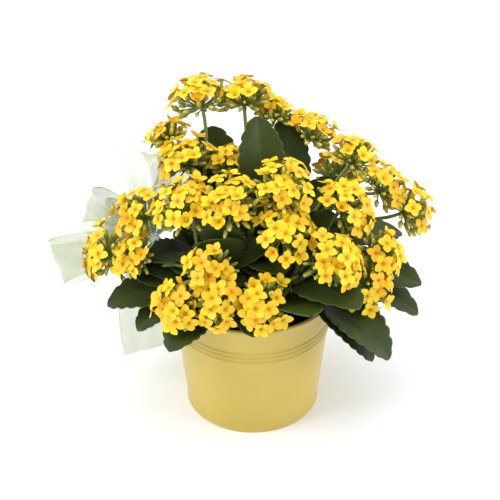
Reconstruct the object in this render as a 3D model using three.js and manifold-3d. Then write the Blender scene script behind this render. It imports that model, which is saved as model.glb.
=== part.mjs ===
// A potted kalanchoe: a bushy yellow-flowered house plant in a plastic grow pot, which stands in a
// painted tin pail, with a sheer ribbon bow on a wooden pick beside the leaves. Millimetres, +Z up.
// The origin is the centre of the pail's foot, on the surface that it stands on, and -Y is the
// front.
import * as THREE from "three";
import { mergeVertices } from "three/addons/utils/BufferGeometryUtils.js";
import Module from "manifold-3d";

const wasm = await Module();
wasm.setup();
const { Manifold, Mesh: SolidMesh } = wasm;

// ---------------------------------------------------------------- driving dimensions

const fitGap = 0.3; // between pieces that touch

// Tin pail
const pailHeight = 98;
const rimRadius = 60; // outside of the rolled rim
const footRadius = 49.5; // outside of the wall at the foot
const tinWall = 0.8;
const rimRollRadius = 1.5;
const footBeadHeight = 2.4; // the seam bead round the foot
const footBeadProud = 0.6;
const beadCount = 3; // pressed ridges under the rim
const beadPitch = 3.9;
const beadProud = 0.9;
const beadDrop = 22; // from the rim down to the first ridge
const pailSides = 32;

// Base disc
const discThickness = 0.8;
const discFlange = 4.5; // height of the disc's turned-up edge

// Grow pot
const growPotBelowRim = 11; // from the rim down to its mouth
const growPotWall = 0.9;
const growPotFootRadius = 38;
const growPotLip = 3.5; // width of the lip round its mouth
const growPotLipDepth = 3;
const growPotClearance = 1.6; // between its lip and the tin
const growPotSides = 28;

// Potting mix
const soilDrop = 7; // from the grow pot's mouth down to the soil
const soilCrown = 2; // how much higher the soil is in the middle
const rootDepth = 14; // how far shoots and pick go into the soil
const shootStraight = 12; // height at which a shoot starts to lean

// Plant
const shootFootRadius = 4;
const shootTopRadius = 3.1;
const shootCollarRadius = 4.7; // the swollen node that the flower stalks leave
const stalkRadius = 1.7;
const stalkTipRadius = 1.2;
const forkRadius = 3.4;
const pedicelRadius = 0.7;
const flowerRadius = 8;
const flowerNotch = 3.4; // centre to the notch between two petals
const flowerTube = 9; // length of the corolla tube
const flowerTubeRadius = 1.3;
const leafThickness = 1.6;
const petioleHalfWidth = 2;
const petioleShare = 0.34; // share of a leaf's length that is stalk

// Ribbon bow
const ribbonWidth = 36;
const ribbonThickness = 0.5;
const ribbonGather = 0.14; // share of the width left where the knot gathers it
const knotRadius = ribbonWidth / 9; // as big as the ribbon gathered in it
const pickRadius = 1.4;

// ---------------------------------------------------------------- colours

const paint = (color, roughness, metalness = 0) =>
  new THREE.MeshStandardMaterial({ color, roughness, metalness });

const materials = {
  tin: paint("#dcc262", 0.42, 0.15),
  plastic: paint("#22241f", 0.6),
  soil: paint("#2b1d14", 0.95),
  stem: paint("#6f8a3c", 0.55),
  petal: paint("#f8cf17", 0.55),
  leaf: paint("#2f4a1f", 0.5),
  ribbon: paint("#dbe3b4", 0.6),
  wood: paint("#c9ab78", 0.8),
};

// ---------------------------------------------------------------- geometry helpers

const vec = (x, y, z) => new THREE.Vector3(x, y, z);
const up = vec(0, 0, 1);
const along = (a, b, t) => a.clone().lerp(b, t);
const radians = THREE.MathUtils.degToRad;
const goldenAngle = Math.PI * (3 - Math.sqrt(5));

// A closed geometry from points and triangles, with its faces turned outwards.
function closedGeometry(points, triangles) {
  let volume = 0;
  for (const [a, b, c] of triangles) {
    volume += points[a].dot(points[b].clone().cross(points[c]));
  }
  const turned = volume < 0 ? triangles.map(([a, b, c]) => [a, c, b]) : triangles;
  const geometry = new THREE.BufferGeometry().setFromPoints(points);
  geometry.setIndex(turned.flat());
  return geometry;
}

// A skin over rings that hold the same number of points. The first ring is capped, and the last one
// is too, unless apex gives a point that it closes to.
function loft(rings, apex) {
  const count = rings[0].length;
  const points = rings.flat();
  const triangles = [];
  for (let r = 0; r + 1 < rings.length; r++) {
    for (let i = 0; i < count; i++) {
      const a = r * count + i;
      const b = r * count + ((i + 1) % count);
      triangles.push([a, b, b + count], [a, b + count, a + count]);
    }
  }
  for (let i = 1; i + 1 < count; i++) triangles.push([0, i + 1, i]);
  const last = (rings.length - 1) * count;
  if (apex) {
    points.push(apex);
    for (let i = 0; i < count; i++) {
      triangles.push([last + i, last + ((i + 1) % count), points.length - 1]);
    }
  } else {
    for (let i = 1; i + 1 < count; i++) triangles.push([last, last + i, last + i + 1]);
  }
  return closedGeometry(points, triangles);
}

// A round tube along a curve, with a radius that can change along it.
function tube(curve, radiusAt, sides, steps) {
  const start = curve.getTangent(0);
  let side = start.clone().cross(curve.getTangent(1));
  if (side.length() < 1e-3) side = start.clone().cross(start.z > 0.9 ? vec(1, 0, 0) : up);
  side.normalize();
  const rings = [];
  for (let s = 0; s <= steps; s++) {
    const t = s / steps;
    const centre = curve.getPoint(t);
    const other = curve.getTangent(t).cross(side).normalize();
    const ring = [];
    for (let i = 0; i < sides; i++) {
      const angle = (2 * Math.PI * i) / sides;
      const offset = side.clone().multiplyScalar(Math.cos(angle)).addScaledVector(other, Math.sin(angle));
      ring.push(centre.clone().addScaledVector(offset, radiusAt(t)));
    }
    rings.push(ring);
  }
  return loft(rings);
}

// A turned solid from a closed outline of [radius, height] pairs, listed anticlockwise.
function turned(outline, sides) {
  const points = [...outline, outline[0]].map(([r, z]) => new THREE.Vector2(r, z));
  return new THREE.LatheGeometry(points, sides).rotateX(Math.PI / 2);
}

function solidOf(geometry) {
  const bare = new THREE.BufferGeometry();
  bare.setAttribute("position", geometry.getAttribute("position"));
  bare.setIndex(geometry.index);
  const merged = mergeVertices(bare, 1e-4);
  return new Manifold(
    new SolidMesh({
      numProp: 3,
      vertProperties: merged.attributes.position.array,
      triVerts: new Uint32Array(merged.index.array),
    }),
  );
}

function geometryOf(solid) {
  const mesh = solid.getMesh();
  const geometry = new THREE.BufferGeometry();
  geometry.setAttribute("position", new THREE.BufferAttribute(mesh.vertProperties, 3));
  geometry.setIndex(new THREE.BufferAttribute(mesh.triVerts, 1));
  return geometry;
}

// ---------------------------------------------------------------- what is already in place

// Every solid so far, with the node that it belongs to. A new leaf or flower looks here for a clear place.
const placed = [];

function place(owner, solid) {
  placed.push({ owner, solid, box: solid.boundingBox() });
}

const apart = (a, b) => [0, 1, 2].some((k) => a.min[k] > b.max[k] || b.min[k] > a.max[k]);

function clear(solid, owner, ignored = () => false) {
  const box = solid.boundingBox();
  return placed.every(
    (other) => ignored(other) || apart(box, other.box) || solid.intersect(other.solid).volume() < 1e-5,
  );
}

const group = new THREE.Group();

function add(name, geometry, material) {
  const mesh = new THREE.Mesh(geometry, material);
  mesh.name = name;
  group.add(mesh);
}

function addAndPlace(name, geometry, material) {
  add(name, geometry, material);
  place(name, solidOf(geometry));
}

// ---------------------------------------------------------------- tin pail

const wallTopRadius = rimRadius - rimRollRadius;
const wallRadius = (z) => footRadius + ((wallTopRadius - footRadius) * z) / pailHeight;

function pailBody() {
  const rollZ = pailHeight - rimRollRadius;
  const outside = [
    [wallRadius(0), 0],
    [wallRadius(0) + footBeadProud, footBeadHeight * 0.3],
    [wallRadius(0) + footBeadProud, footBeadHeight * 0.7],
    [wallRadius(footBeadHeight), footBeadHeight],
  ];
  for (let i = beadCount - 1; i >= 0; i--) {
    const z = pailHeight - beadDrop - i * beadPitch;
    const half = beadPitch * 0.46;
    outside.push([wallRadius(z - half), z - half]);
    outside.push([wallRadius(z) + beadProud, z - half * 0.35]);
    outside.push([wallRadius(z) + beadProud, z + half * 0.35]);
    outside.push([wallRadius(z + half), z + half]);
  }
  for (let step = 0; step <= 4; step++) {
    const angle = radians(-60 + step * 52.5);
    outside.push([
      wallTopRadius - 0.2 + rimRollRadius * Math.cos(angle) * 1.13,
      rollZ + rimRollRadius * Math.sin(angle),
    ]);
  }
  const inside = [
    [wallRadius(rollZ) - tinWall - 0.4, rollZ - rimRollRadius],
    [wallRadius(0) - tinWall, 0],
  ];
  return turned([...outside, ...inside], pailSides);
}

function pailBase() {
  const edge = (z) => wallRadius(z) - tinWall - fitGap;
  return turned(
    [
      [0, 0],
      [edge(0), 0],
      [edge(discFlange), discFlange],
      [edge(discFlange) - discThickness, discFlange],
      [edge(discThickness) - discThickness, discThickness],
      [0, discThickness],
    ],
    pailSides,
  );
}

addAndPlace("pail_body", pailBody(), materials.tin);
addAndPlace("pail_base", pailBase(), materials.tin);

// ---------------------------------------------------------------- grow pot and soil

const growPotFoot = discThickness + fitGap;
const growPotTop = pailHeight - growPotBelowRim;
const growPotLipRadius = wallRadius(growPotTop - growPotLipDepth) - tinWall - growPotClearance;
const growPotMouth = growPotLipRadius - growPotLip; // outside of its wall under the lip
const growPotRadius = (z) =>
  growPotFootRadius +
  ((growPotMouth - growPotFootRadius) * (z - growPotFoot)) / (growPotTop - growPotFoot);

function growPot() {
  const floor = growPotFoot + growPotWall;
  return turned(
    [
      [0, growPotFoot],
      [growPotRadius(growPotFoot), growPotFoot],
      [growPotRadius(growPotTop - growPotLipDepth), growPotTop - growPotLipDepth],
      [growPotLipRadius, growPotTop - growPotLipDepth],
      [growPotLipRadius, growPotTop],
      [growPotRadius(growPotTop) - growPotWall, growPotTop],
      [growPotRadius(floor) - growPotWall, floor],
      [0, floor],
    ],
    growPotSides,
  );
}

const soilEdge = growPotTop - soilDrop;
const soilTop = soilEdge + soilCrown;

// A place over the soil: across, back, and up from the middle of its surface. Everything that grows
// or stands in the soil is placed so.
const over = (x, y, z) => vec(x, y, soilTop + z);

// The plug of potting mix, with a hole for each thing that stands in it.
function soil(rooted) {
  const foot = growPotFoot + growPotWall + fitGap;
  const edge = (z) => growPotRadius(z) - growPotWall - fitGap;
  const plug = solidOf(
    turned(
      [
        [0, foot],
        [edge(foot), foot],
        [edge(soilEdge), soilEdge],
        [edge(soilEdge) * 0.55, soilEdge + soilCrown * 0.8],
        [0, soilTop],
      ],
      growPotSides,
    ),
  );
  return geometryOf(rooted.reduce((left, solid) => left.subtract(solid), plug));
}

// ---------------------------------------------------------------- shoots

// Each leafy shoot: where it leaves the soil, and where its top is.
const shoots = [
  { name: "shoot_front_left", foot: [-14, -13], top: over(-31, -23, 38) },
  { name: "shoot_front_right", foot: [14, -14], top: over(31, -24, 38) },
  { name: "shoot_back_left", foot: [-15, 13], top: over(-31, 22, 46) },
  { name: "shoot_back_right", foot: [16, 13], top: over(35, 22, 44) },
  { name: "shoot_middle", foot: [0, 2], top: over(0, 12, 56) },
];

const shootRadius = (t) => {
  const plain = shootFootRadius + (shootTopRadius - shootFootRadius) * t;
  return t > 0.97 ? shootCollarRadius : plain;
};

function shootCurve(shoot, extra = 0) {
  const foot = over(...shoot.foot, -rootDepth - extra);
  const bend = over(...shoot.foot, shootStraight);
  return new THREE.QuadraticBezierCurve3(foot, bend, shoot.top);
}

for (const shoot of shoots) {
  shoot.curve = shootCurve(shoot);
  addAndPlace(shoot.name, tube(shoot.curve, shootRadius, 8, 7), materials.stem);
}
const shootHoles = shoots.map((shoot) =>
  solidOf(tube(shootCurve(shoot, fitGap), (t) => shootRadius(t) + fitGap, 8, 7)),
);

// ---------------------------------------------------------------- ribbon bow

const knotBearing = radians(163);
const knotPastRim = 15;
const knotPastPlant = 75; // from the pail's axis, clear of the flower stalks
const knotHeight = 40; // over the soil
const knotOut = Math.max(rimRadius + knotPastRim, knotPastPlant);
const knot = over(knotOut * Math.cos(knotBearing), knotOut * Math.sin(knotBearing), knotHeight);
const bowAxis = vec(-0.42, -0.72, 0.55).normalize(); // the way the bow faces

// The pick leans out over the rim on a straight line from the soil to the knot.
const pickInsideRim = 5.4; // from the rim to the pick's middle, where it passes over
const pickRise = knotHeight + rootDepth;
const pickRiseFromRim = soilTop + knotHeight - pailHeight;
const pickPass = rimRadius - pickInsideRim;
const pickFootOut = knotOut - ((knotOut - pickPass) * pickRise) / pickRiseFromRim;
const pickFoot = over(pickFootOut * Math.cos(knotBearing), pickFootOut * Math.sin(knotBearing), -rootDepth);
const pickTop = knot.clone().addScaledVector(knot.clone().sub(pickFoot).normalize(), -knotRadius - 0.6);
const pickLine = (extra) => new THREE.LineCurve3(along(pickFoot, pickTop, -extra / 70), pickTop);

// Loops leave the knot along reach, and roll turns the ribbon's face about that direction. Depth is
// how far a loop bulges. The bow is laid out in ribbon widths, because a wider ribbon is tied in
// bigger loops.
const widths = (x, y, z) => vec(x, y, z).multiplyScalar(ribbonWidth);
const bowLoops = [
  { name: "bow_loop_top", reach: widths(-0.11, 0.44, 1.72), roll: 62, depth: 0.56 },
  { name: "bow_loop_upper_left", reach: widths(-1.36, 0.33, 0.58), roll: 58, depth: 0.44 },
  { name: "bow_loop_left", reach: widths(-2.03, 0, -0.56), roll: 60, depth: 0.5 },
  { name: "bow_loop_back", reach: widths(0.28, 1.78, 0.58), roll: 40, depth: 0.56 },
  { name: "bow_loop_lower_back", reach: widths(-1.11, 1.33, -0.33), roll: 75, depth: 0.44 },
];
const bowTails = [
  { name: "bow_tail_front", reach: widths(-0.22, -0.5, -2.61), bow: widths(-0.33, -0.06, 0.11), roll: 58 },
  { name: "bow_tail_back", reach: widths(0.28, 1.11, -2.17), bow: widths(-0.33, 0.39, 0.17), roll: 30 },
];
const tailCut = 0.36; // how much longer one edge of a tail's slanted end is, in ribbon widths

const knotEdge = knotRadius * 1.25; // where loops and tails start, from the knot's middle
const loopEnds = ribbonWidth / 40; // half the gap between a loop's two ends at the knot

function ribbonSide(direction, roll) {
  const flat = bowAxis.clone().addScaledVector(direction, -bowAxis.dot(direction)).normalize();
  return flat.applyAxisAngle(direction, radians(roll));
}

// One cross-section of ribbon: a thin rectangle, wide along side and thick along face.
function ribbonRing(centre, side, face, width) {
  const corner = (s, f) =>
    centre.clone().addScaledVector(side, (s * width) / 2).addScaledVector(face, (f * ribbonThickness) / 2);
  return [corner(-1, -1), corner(1, -1), corner(1, 1), corner(-1, 1)];
}

function ribbonLoop({ reach, roll, depth }) {
  const out = reach.clone().normalize();
  const length = reach.length() - knotEdge;
  const start = knot.clone().addScaledVector(out, knotEdge);
  const side = ribbonSide(out, roll);
  const across = side.clone().cross(out);
  const bulge = (depth * ribbonWidth) / 2;
  const at = (t) =>
    start
      .clone()
      .addScaledVector(out, length * Math.sin(Math.PI * t))
      .addScaledVector(across, bulge * Math.sin(2 * Math.PI * t) + loopEnds * Math.cos(Math.PI * t));
  const rings = [];
  const steps = 14;
  for (let s = 0; s <= steps; s++) {
    const t = s / steps;
    const step = at(Math.min(t + 0.01, 1)).sub(at(Math.max(t - 0.01, 0)));
    const face = step.cross(side).normalize();
    const open = ribbonGather + (1 - ribbonGather) * Math.sqrt(Math.sin(Math.PI * t) + 1e-9);
    rings.push(ribbonRing(at(t), side, face, ribbonWidth * open));
  }
  return loft(rings);
}

function ribbonTail({ reach, bow, roll }) {
  const end = knot.clone().add(reach);
  const out = reach.clone().normalize();
  const start = knot.clone().addScaledVector(out, knotEdge);
  const curve = new THREE.QuadraticBezierCurve3(start, along(start, end, 0.45).add(bow), end);
  const side = ribbonSide(out, roll);
  const rings = [];
  const steps = 7;
  for (let s = 0; s <= steps; s++) {
    const t = s / steps;
    const step = curve.getTangent(t);
    const face = step.clone().cross(side).normalize();
    const open = Math.min(1, ribbonGather + 2.2 * t);
    const ring = ribbonRing(curve.getPoint(t), side, face, ribbonWidth * open);
    rings.push(ring);
  }
  const last = rings.at(-1);
  const cut = curve.getTangent(1).multiplyScalar(-tailCut * ribbonWidth);
  for (const corner of [last[0], last[3]]) corner.add(cut);
  return loft(rings);
}

const knotShape = new THREE.SphereGeometry(knotRadius, 10, 6).translate(knot.x, knot.y, knot.z);
addAndPlace("bow_knot", geometryOf(solidOf(knotShape)), materials.ribbon);
addAndPlace("bow_pick", tube(pickLine(0), () => pickRadius, 6, 1), materials.wood);
for (const loop of bowLoops) addAndPlace(loop.name, ribbonLoop(loop), materials.ribbon);
for (const tail of bowTails) addAndPlace(tail.name, ribbonTail(tail), materials.ribbon);

const pickHole = solidOf(tube(pickLine(fitGap), () => pickRadius + fitGap, 6, 1));
addAndPlace("grow_pot", growPot(), materials.plastic);
addAndPlace("soil", soil([...shootHoles, pickHole]), materials.soil);

// ---------------------------------------------------------------- flowering stems

// Each stem leaves a shoot's top and ends in one or more flower heads. at is the fork that a head's
// flower stalks leave, reach is how far its flowers stand from there, and flowers is how many it
// bears.
const stems = [
  { name: "flower_stem_01", shoot: 2, heads: [{ at: over(-36, 56, 129), reach: 24, flowers: 12 }] },
  {
    name: "flower_stem_02",
    shoot: 4,
    heads: [
      { at: over(-6, 60, 129), reach: 21, flowers: 9 },
      { at: over(16, 62, 118), reach: 15, flowers: 4 },
    ],
  },
  {
    name: "flower_stem_03",
    shoot: 2,
    heads: [
      { at: over(-46, 26, 98), reach: 20, flowers: 8 },
      { at: over(-59, 46, 108), reach: 15, flowers: 4 },
    ],
  },
  {
    name: "flower_stem_04",
    shoot: 0,
    heads: [
      { at: over(-44, -12, 83), reach: 23, flowers: 10 },
      { at: over(-74, 2, 70), reach: 22, flowers: 9 },
    ],
  },
  {
    name: "flower_stem_05",
    shoot: 0,
    heads: [
      { at: over(-101, -2, 42), reach: 20, flowers: 8 },
      { at: over(-78, -12, 46), reach: 19, flowers: 6 },
    ],
  },
  {
    name: "flower_stem_06",
    shoot: 4,
    heads: [
      { at: over(-15, -22, 90), reach: 22, flowers: 9 },
      { at: over(-16, 28, 96), reach: 16, flowers: 4 },
    ],
  },
  {
    name: "flower_stem_07",
    shoot: 1,
    heads: [
      { at: over(19, -15, 98), reach: 22, flowers: 10 },
      { at: over(20, -28, 74), reach: 22, flowers: 8 },
    ],
  },
  { name: "flower_stem_08", shoot: 3, heads: [{ at: over(40, 57, 104), reach: 20, flowers: 8 }] },
  {
    name: "flower_stem_09",
    shoot: 3,
    heads: [
      { at: over(70, 38, 94), reach: 20, flowers: 8 },
      { at: over(88, 18, 82), reach: 20, flowers: 7 },
    ],
  },
  { name: "flower_stem_10", shoot: 1, heads: [{ at: over(60, -4, 78), reach: 23, flowers: 10 }] },
  { name: "flower_stem_11", shoot: 3, heads: [{ at: over(106, 14, 67), reach: 22, flowers: 9 }] },
  { name: "flower_stem_12", shoot: 1, heads: [{ at: over(52, -38, 58), reach: 23, flowers: 11 }] },
  {
    name: "flower_stem_13",
    shoot: 1,
    heads: [
      { at: over(84, -16, 50), reach: 20, flowers: 7 },
      { at: over(77, -31, 36), reach: 20, flowers: 7 },
    ],
  },
  {
    name: "flower_stem_14",
    shoot: 0,
    heads: [
      { at: over(-27, -40, 50), reach: 20, flowers: 7 },
      { at: over(-48, -50, 31), reach: 19, flowers: 6 },
    ],
  },
  { name: "flower_stem_15", shoot: 0, heads: [{ at: over(-24, -54, 39), reach: 19, flowers: 7 }] },
  { name: "flower_stem_16", shoot: 1, heads: [{ at: over(5, -54, 37), reach: 20, flowers: 8 }] },
  { name: "flower_stem_17", shoot: 2, heads: [{ at: over(-38, 82, 68), reach: 22, flowers: 8 }] },
  { name: "flower_stem_18", shoot: 4, heads: [{ at: over(14, 92, 76), reach: 22, flowers: 8 }] },
  { name: "flower_stem_19", shoot: 3, heads: [{ at: over(62, 80, 58), reach: 22, flowers: 8 }] },
];

const plantMiddle = over(0, 15, 3); // heads face away from here
const headSpread = radians(74); // from a head's axis to its outermost flowers
const widestSpread = radians(108); // the furthest a crowded flower leans
const forkShare = 0.6; // where a second head's stalk leaves the first one's

const headAxis = (head) => head.at.clone().sub(plantMiddle).normalize();

// The swelling that a head's flower stalks leave.
const forkBall = ({ at }) => new THREE.OctahedronGeometry(forkRadius).translate(at.x, at.y, at.z);

// A stalk that starts along one direction and ends along another.
function stalkCurve(from, leaving, to, arriving) {
  const length = from.distanceTo(to);
  return new THREE.CubicBezierCurve3(
    from,
    from.clone().addScaledVector(leaving, length * 0.35),
    to.clone().addScaledVector(arriving, -length * 0.35),
    to,
  );
}

// The triangles between a flower's three-cornered neck, points 3 to 5, and its eight-cornered star,
// points 6 to 13.
const skirt = [
  [3, 7, 6],
  [3, 4, 7],
  [4, 8, 7],
  [4, 9, 8],
  [4, 10, 9],
  [4, 5, 10],
  [5, 11, 10],
  [5, 12, 11],
  [5, 3, 12],
  [3, 13, 12],
  [3, 6, 13],
];

// A four-petalled flower on its own stalk: a three-sided stalk from the fork to the tube's foot, a
// tube, and a star. It starts at a share of the way along its stalk.
function flower({ fork, centre, facing, turn, grow = 0, from = 0.1 }) {
  const side = facing.clone().cross(Math.abs(facing.z) < 0.9 ? up : vec(1, 0, 0)).normalize();
  const other = facing.clone().cross(side);
  const spoke = (angle, radius, rise, middle = centre) =>
    middle
      .clone()
      .addScaledVector(side, Math.cos(angle + turn) * radius)
      .addScaledVector(other, Math.sin(angle + turn) * radius)
      .addScaledVector(facing, rise);
  const neck = centre.clone().addScaledVector(facing, -flowerTube);
  const foot = along(fork, neck, from);
  const third = (2 * Math.PI) / 3;
  const quarter = Math.PI / 2;
  const points = [];
  for (let k = 0; k < 3; k++) points.push(spoke(k * third, pedicelRadius + grow, 0, foot));
  for (let k = 0; k < 3; k++) points.push(spoke(k * third, flowerTubeRadius + grow, 0, neck));
  for (let k = 0; k < 4; k++) {
    points.push(spoke(k * quarter, flowerRadius + grow, 0.4));
    points.push(spoke((k + 0.5) * quarter, flowerNotch + grow, -0.6));
  }
  points.push(spoke(0, 0, grow - 1.1));
  const triangles = [[0, 2, 1]];
  for (let k = 0; k < 3; k++) {
    const next = (k + 1) % 3;
    triangles.push([k, next, next + 3], [k, next + 3, k + 3]);
  }
  for (const [a, b, c] of skirt) triangles.push([a, b, c]);
  for (let k = 0; k < 8; k++) triangles.push([6 + k, 6 + ((k + 1) % 8), 14]);
  return solidOf(closedGeometry(points, triangles));
}

// The flowers of one head, on a dome round its fork. Sites follow the golden angle from the middle
// outwards, and a site where the flower would touch something is passed over for the next one.
function headFlowers(owner, head, seed) {
  const axis = headAxis(head);
  const side = axis.clone().cross(Math.abs(axis.z) < 0.9 ? up : vec(1, 0, 0)).normalize();
  const flowers = [];
  const mostSites = head.flowers * 7;
  for (let site = 0; site < mostSites && flowers.length < head.flowers; site++) {
    const lean = Math.min(headSpread * Math.sqrt((site + 0.5) / head.flowers), widestSpread);
    const facing = axis
      .clone()
      .applyAxisAngle(side, lean)
      .applyAxisAngle(axis, site * goldenAngle + seed);
    const reach = head.reach * (1 + 0.09 * Math.sin(2.4 * site + seed));
    const centre = head.at.clone().addScaledVector(facing, reach);
    const turn = 1.9 * site + seed;
    const bloom = { fork: head.at, centre, facing, turn };
    const roomy = flower({ ...bloom, grow: fitGap, from: 0.5 });
    if (!clear(roomy, owner)) continue;
    flowers.push(flower(bloom));
    place(owner, flowers.at(-1));
  }
  return flowers;
}

const taper = (t) => stalkRadius + (stalkTipRadius - stalkRadius) * t;

// A stem's stalks from its place round the shoot's top: a trunk to its first head, and a branch to
// each other one.
function stalksOf(stem, shoot, angle, spread, grow = 0) {
  const growing = shoot.curve.getTangent(1);
  const beside = vec(Math.cos(angle), Math.sin(angle), 0).projectOnPlane(growing).setLength(spread);
  const base = shoot.top.clone().add(beside).addScaledVector(growing, fitGap);
  const [first, ...rest] = stem.heads;
  const trunk = stalkCurve(base, growing, first.at, headAxis(first));
  const fork = trunk.getPoint(forkShare);
  const heading = trunk.getTangent(forkShare);
  const branches = rest.map((head) => stalkCurve(fork, heading, head.at, headAxis(head)));
  return [
    solidOf(tube(trunk, (t) => taper(t) + grow, 6, 5)),
    ...branches.map((branch) => solidOf(tube(branch, () => stalkTipRadius + grow, 5, 4))),
    ...stem.heads.map((head) => solidOf(forkBall(head))),
  ];
}

// Gives each stem a free place round its shoot's top, nearest to the way that it goes, with all
// stalks apart.
function settle([stem, ...others], shoot, angles, spread, anyway = false) {
  if (!stem) return true;
  const nearness = (angle) => Math.cos(angle - bearing(stem, shoot));
  for (const angle of [...angles].sort((a, b) => nearness(b) - nearness(a))) {
    const owner = `${stem.name} stalk`;
    const roomy = stalksOf(stem, shoot, angle, spread, fitGap);
    if (!anyway && !roomy.every((solid) => clear(solid, owner))) continue;
    const before = placed.length;
    stem.stalks = stalksOf(stem, shoot, angle, spread);
    stem.stalks.forEach((stalk) => place(owner, stalk));
    const free = angles.filter((other) => other !== angle);
    if (settle(others, shoot, free, spread, anyway)) return true;
    placed.length = before;
  }
  return false;
}

const wayOf = (stem, shoot) => stem.heads[0].at.clone().sub(shoot.top).normalize();
const bearing = (stem, shoot) => Math.atan2(wayOf(stem, shoot).y, wayOf(stem, shoot).x);

// Stalks first, so that every flower and leaf can keep clear of them. The shallowest stalk of a
// shoot chooses first. The ring of places turns, and then widens, until every stalk is clear.
for (const [index, shoot] of shoots.entries()) {
  const own = stems.filter((stem) => stem.shoot === index);
  own.sort((a, b) => wayOf(a, shoot).z - wayOf(b, shoot).z);
  const tight = own.length > 1 ? (stalkRadius + fitGap) / Math.sin(Math.PI / own.length) : 0;
  const turns = 12;
  const settled = (attempt, anyway) => {
    const start = bearing(own[0], shoot) + (2 * Math.PI * attempt) / turns / own.length;
    const angles = own.map((_, slot) => start + (2 * Math.PI * slot) / own.length);
    return settle(own, shoot, angles, tight * (1 + 0.15 * Math.floor(attempt / turns)), anyway);
  };
  const attempts = [...Array(turns * 3).keys()];
  if (!attempts.some((attempt) => settled(attempt))) settled(0, true);
}

for (const [number, stem] of stems.entries()) {
  const flowers = stem.heads.flatMap((head, i) => headFlowers(stem.name, head, number * 0.7 + i * 2.1));
  add(stem.name, geometryOf(Manifold.union([...stem.stalks, ...flowers])), materials.petal);
}

// ---------------------------------------------------------------- leaves

// Each leaf leaves its shoot at a share of the way up, and its tip reaches tip. roll turns its face
// about its length.
const leaves = [
  { name: "leaf_front_right", shoot: 1, up: 0.66, tip: over(96, -64, 18), width: 56, roll: -12, arch: 0.14 },
  { name: "leaf_front_right_low", shoot: 1, up: 0.5, tip: over(94, -60, -8), width: 40, arch: 0.2 },
  { name: "leaf_right_upper", shoot: 3, up: 0.62, tip: over(120, -10, 22), width: 50 },
  { name: "leaf_right_lower", shoot: 3, up: 0.47, tip: over(115, -28, 12), width: 42, arch: 0.15 },
  { name: "leaf_left_low", shoot: 0, up: 0.52, tip: over(-103, -20, 12), width: 52, arch: 0.15 },
  { name: "leaf_left_front", shoot: 0, up: 0.66, tip: over(-80, -44, 7), width: 42, roll: 12, arch: 0.14 },
  { name: "leaf_front_middle", shoot: 4, up: 0.72, tip: over(30, -54, 56), width: 46 },
  { name: "leaf_front_middle_low", shoot: 1, up: 0.58, tip: over(38, -78, 36), width: 42 },
  { name: "leaf_rim_middle", shoot: 4, up: 0.5, tip: over(12, -62, 28), width: 36 },
  { name: "leaf_rim_left", shoot: 0, up: 0.44, tip: over(-60, -66, 8), width: 34, arch: 0.17 },
  { name: "leaf_top_middle", shoot: 4, up: 0.9, tip: over(4, 46, 130), width: 38, roll: 28 },
  { name: "leaf_left_middle", shoot: 2, up: 0.72, tip: over(-78, -22, 50), width: 46 },
  { name: "leaf_top_right", shoot: 3, up: 0.9, tip: over(28, 66, 118), width: 34, roll: 10 },
  { name: "leaf_top_left", shoot: 2, up: 0.9, tip: over(-30, 70, 108), width: 40 },
  { name: "leaf_upper_left", shoot: 2, up: 0.82, tip: over(-66, 56, 100), width: 32 },
  { name: "leaf_inner_left", shoot: 0, up: 0.85, tip: over(-16, -50, 64), width: 38 },
  { name: "leaf_inner_right", shoot: 1, up: 0.85, tip: over(50, -24, 86), width: 34, roll: 15 },
  { name: "leaf_inner_front_left", shoot: 0, up: 0.75, tip: over(-44, -60, 64), width: 34 },
  { name: "leaf_back_low", shoot: 4, up: 0.42, tip: over(2, 96, 14), width: 46, arch: 0.13 },
  { name: "leaf_back_left_low", shoot: 2, up: 0.5, tip: over(-38, 98, 22), width: 46 },
  { name: "leaf_back_right_low", shoot: 3, up: 0.5, tip: over(58, 94, 16), width: 48, arch: 0.13 },
  { name: "leaf_right_back", shoot: 3, up: 0.72, tip: over(112, 50, 30), width: 46 },
  { name: "leaf_back_middle", shoot: 4, up: 0.7, tip: over(-14, 92, 50), width: 42 },
];

// A blade's half-width along its length, as a share of its widest.
const outline = (q) => Math.sqrt(Math.sin(Math.PI * Math.pow(q, 0.85)));
const plainArch = 0.09; // rise of a leaf's middle above the line from foot to tip, as a share of its length
const leafTrough = 0.16; // rise of a leaf's edges, as a share of its half-width
const bladeSections = [0.05, 0.16, 0.32, 0.5, 0.68, 0.83, 0.93, 0.98];

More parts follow.
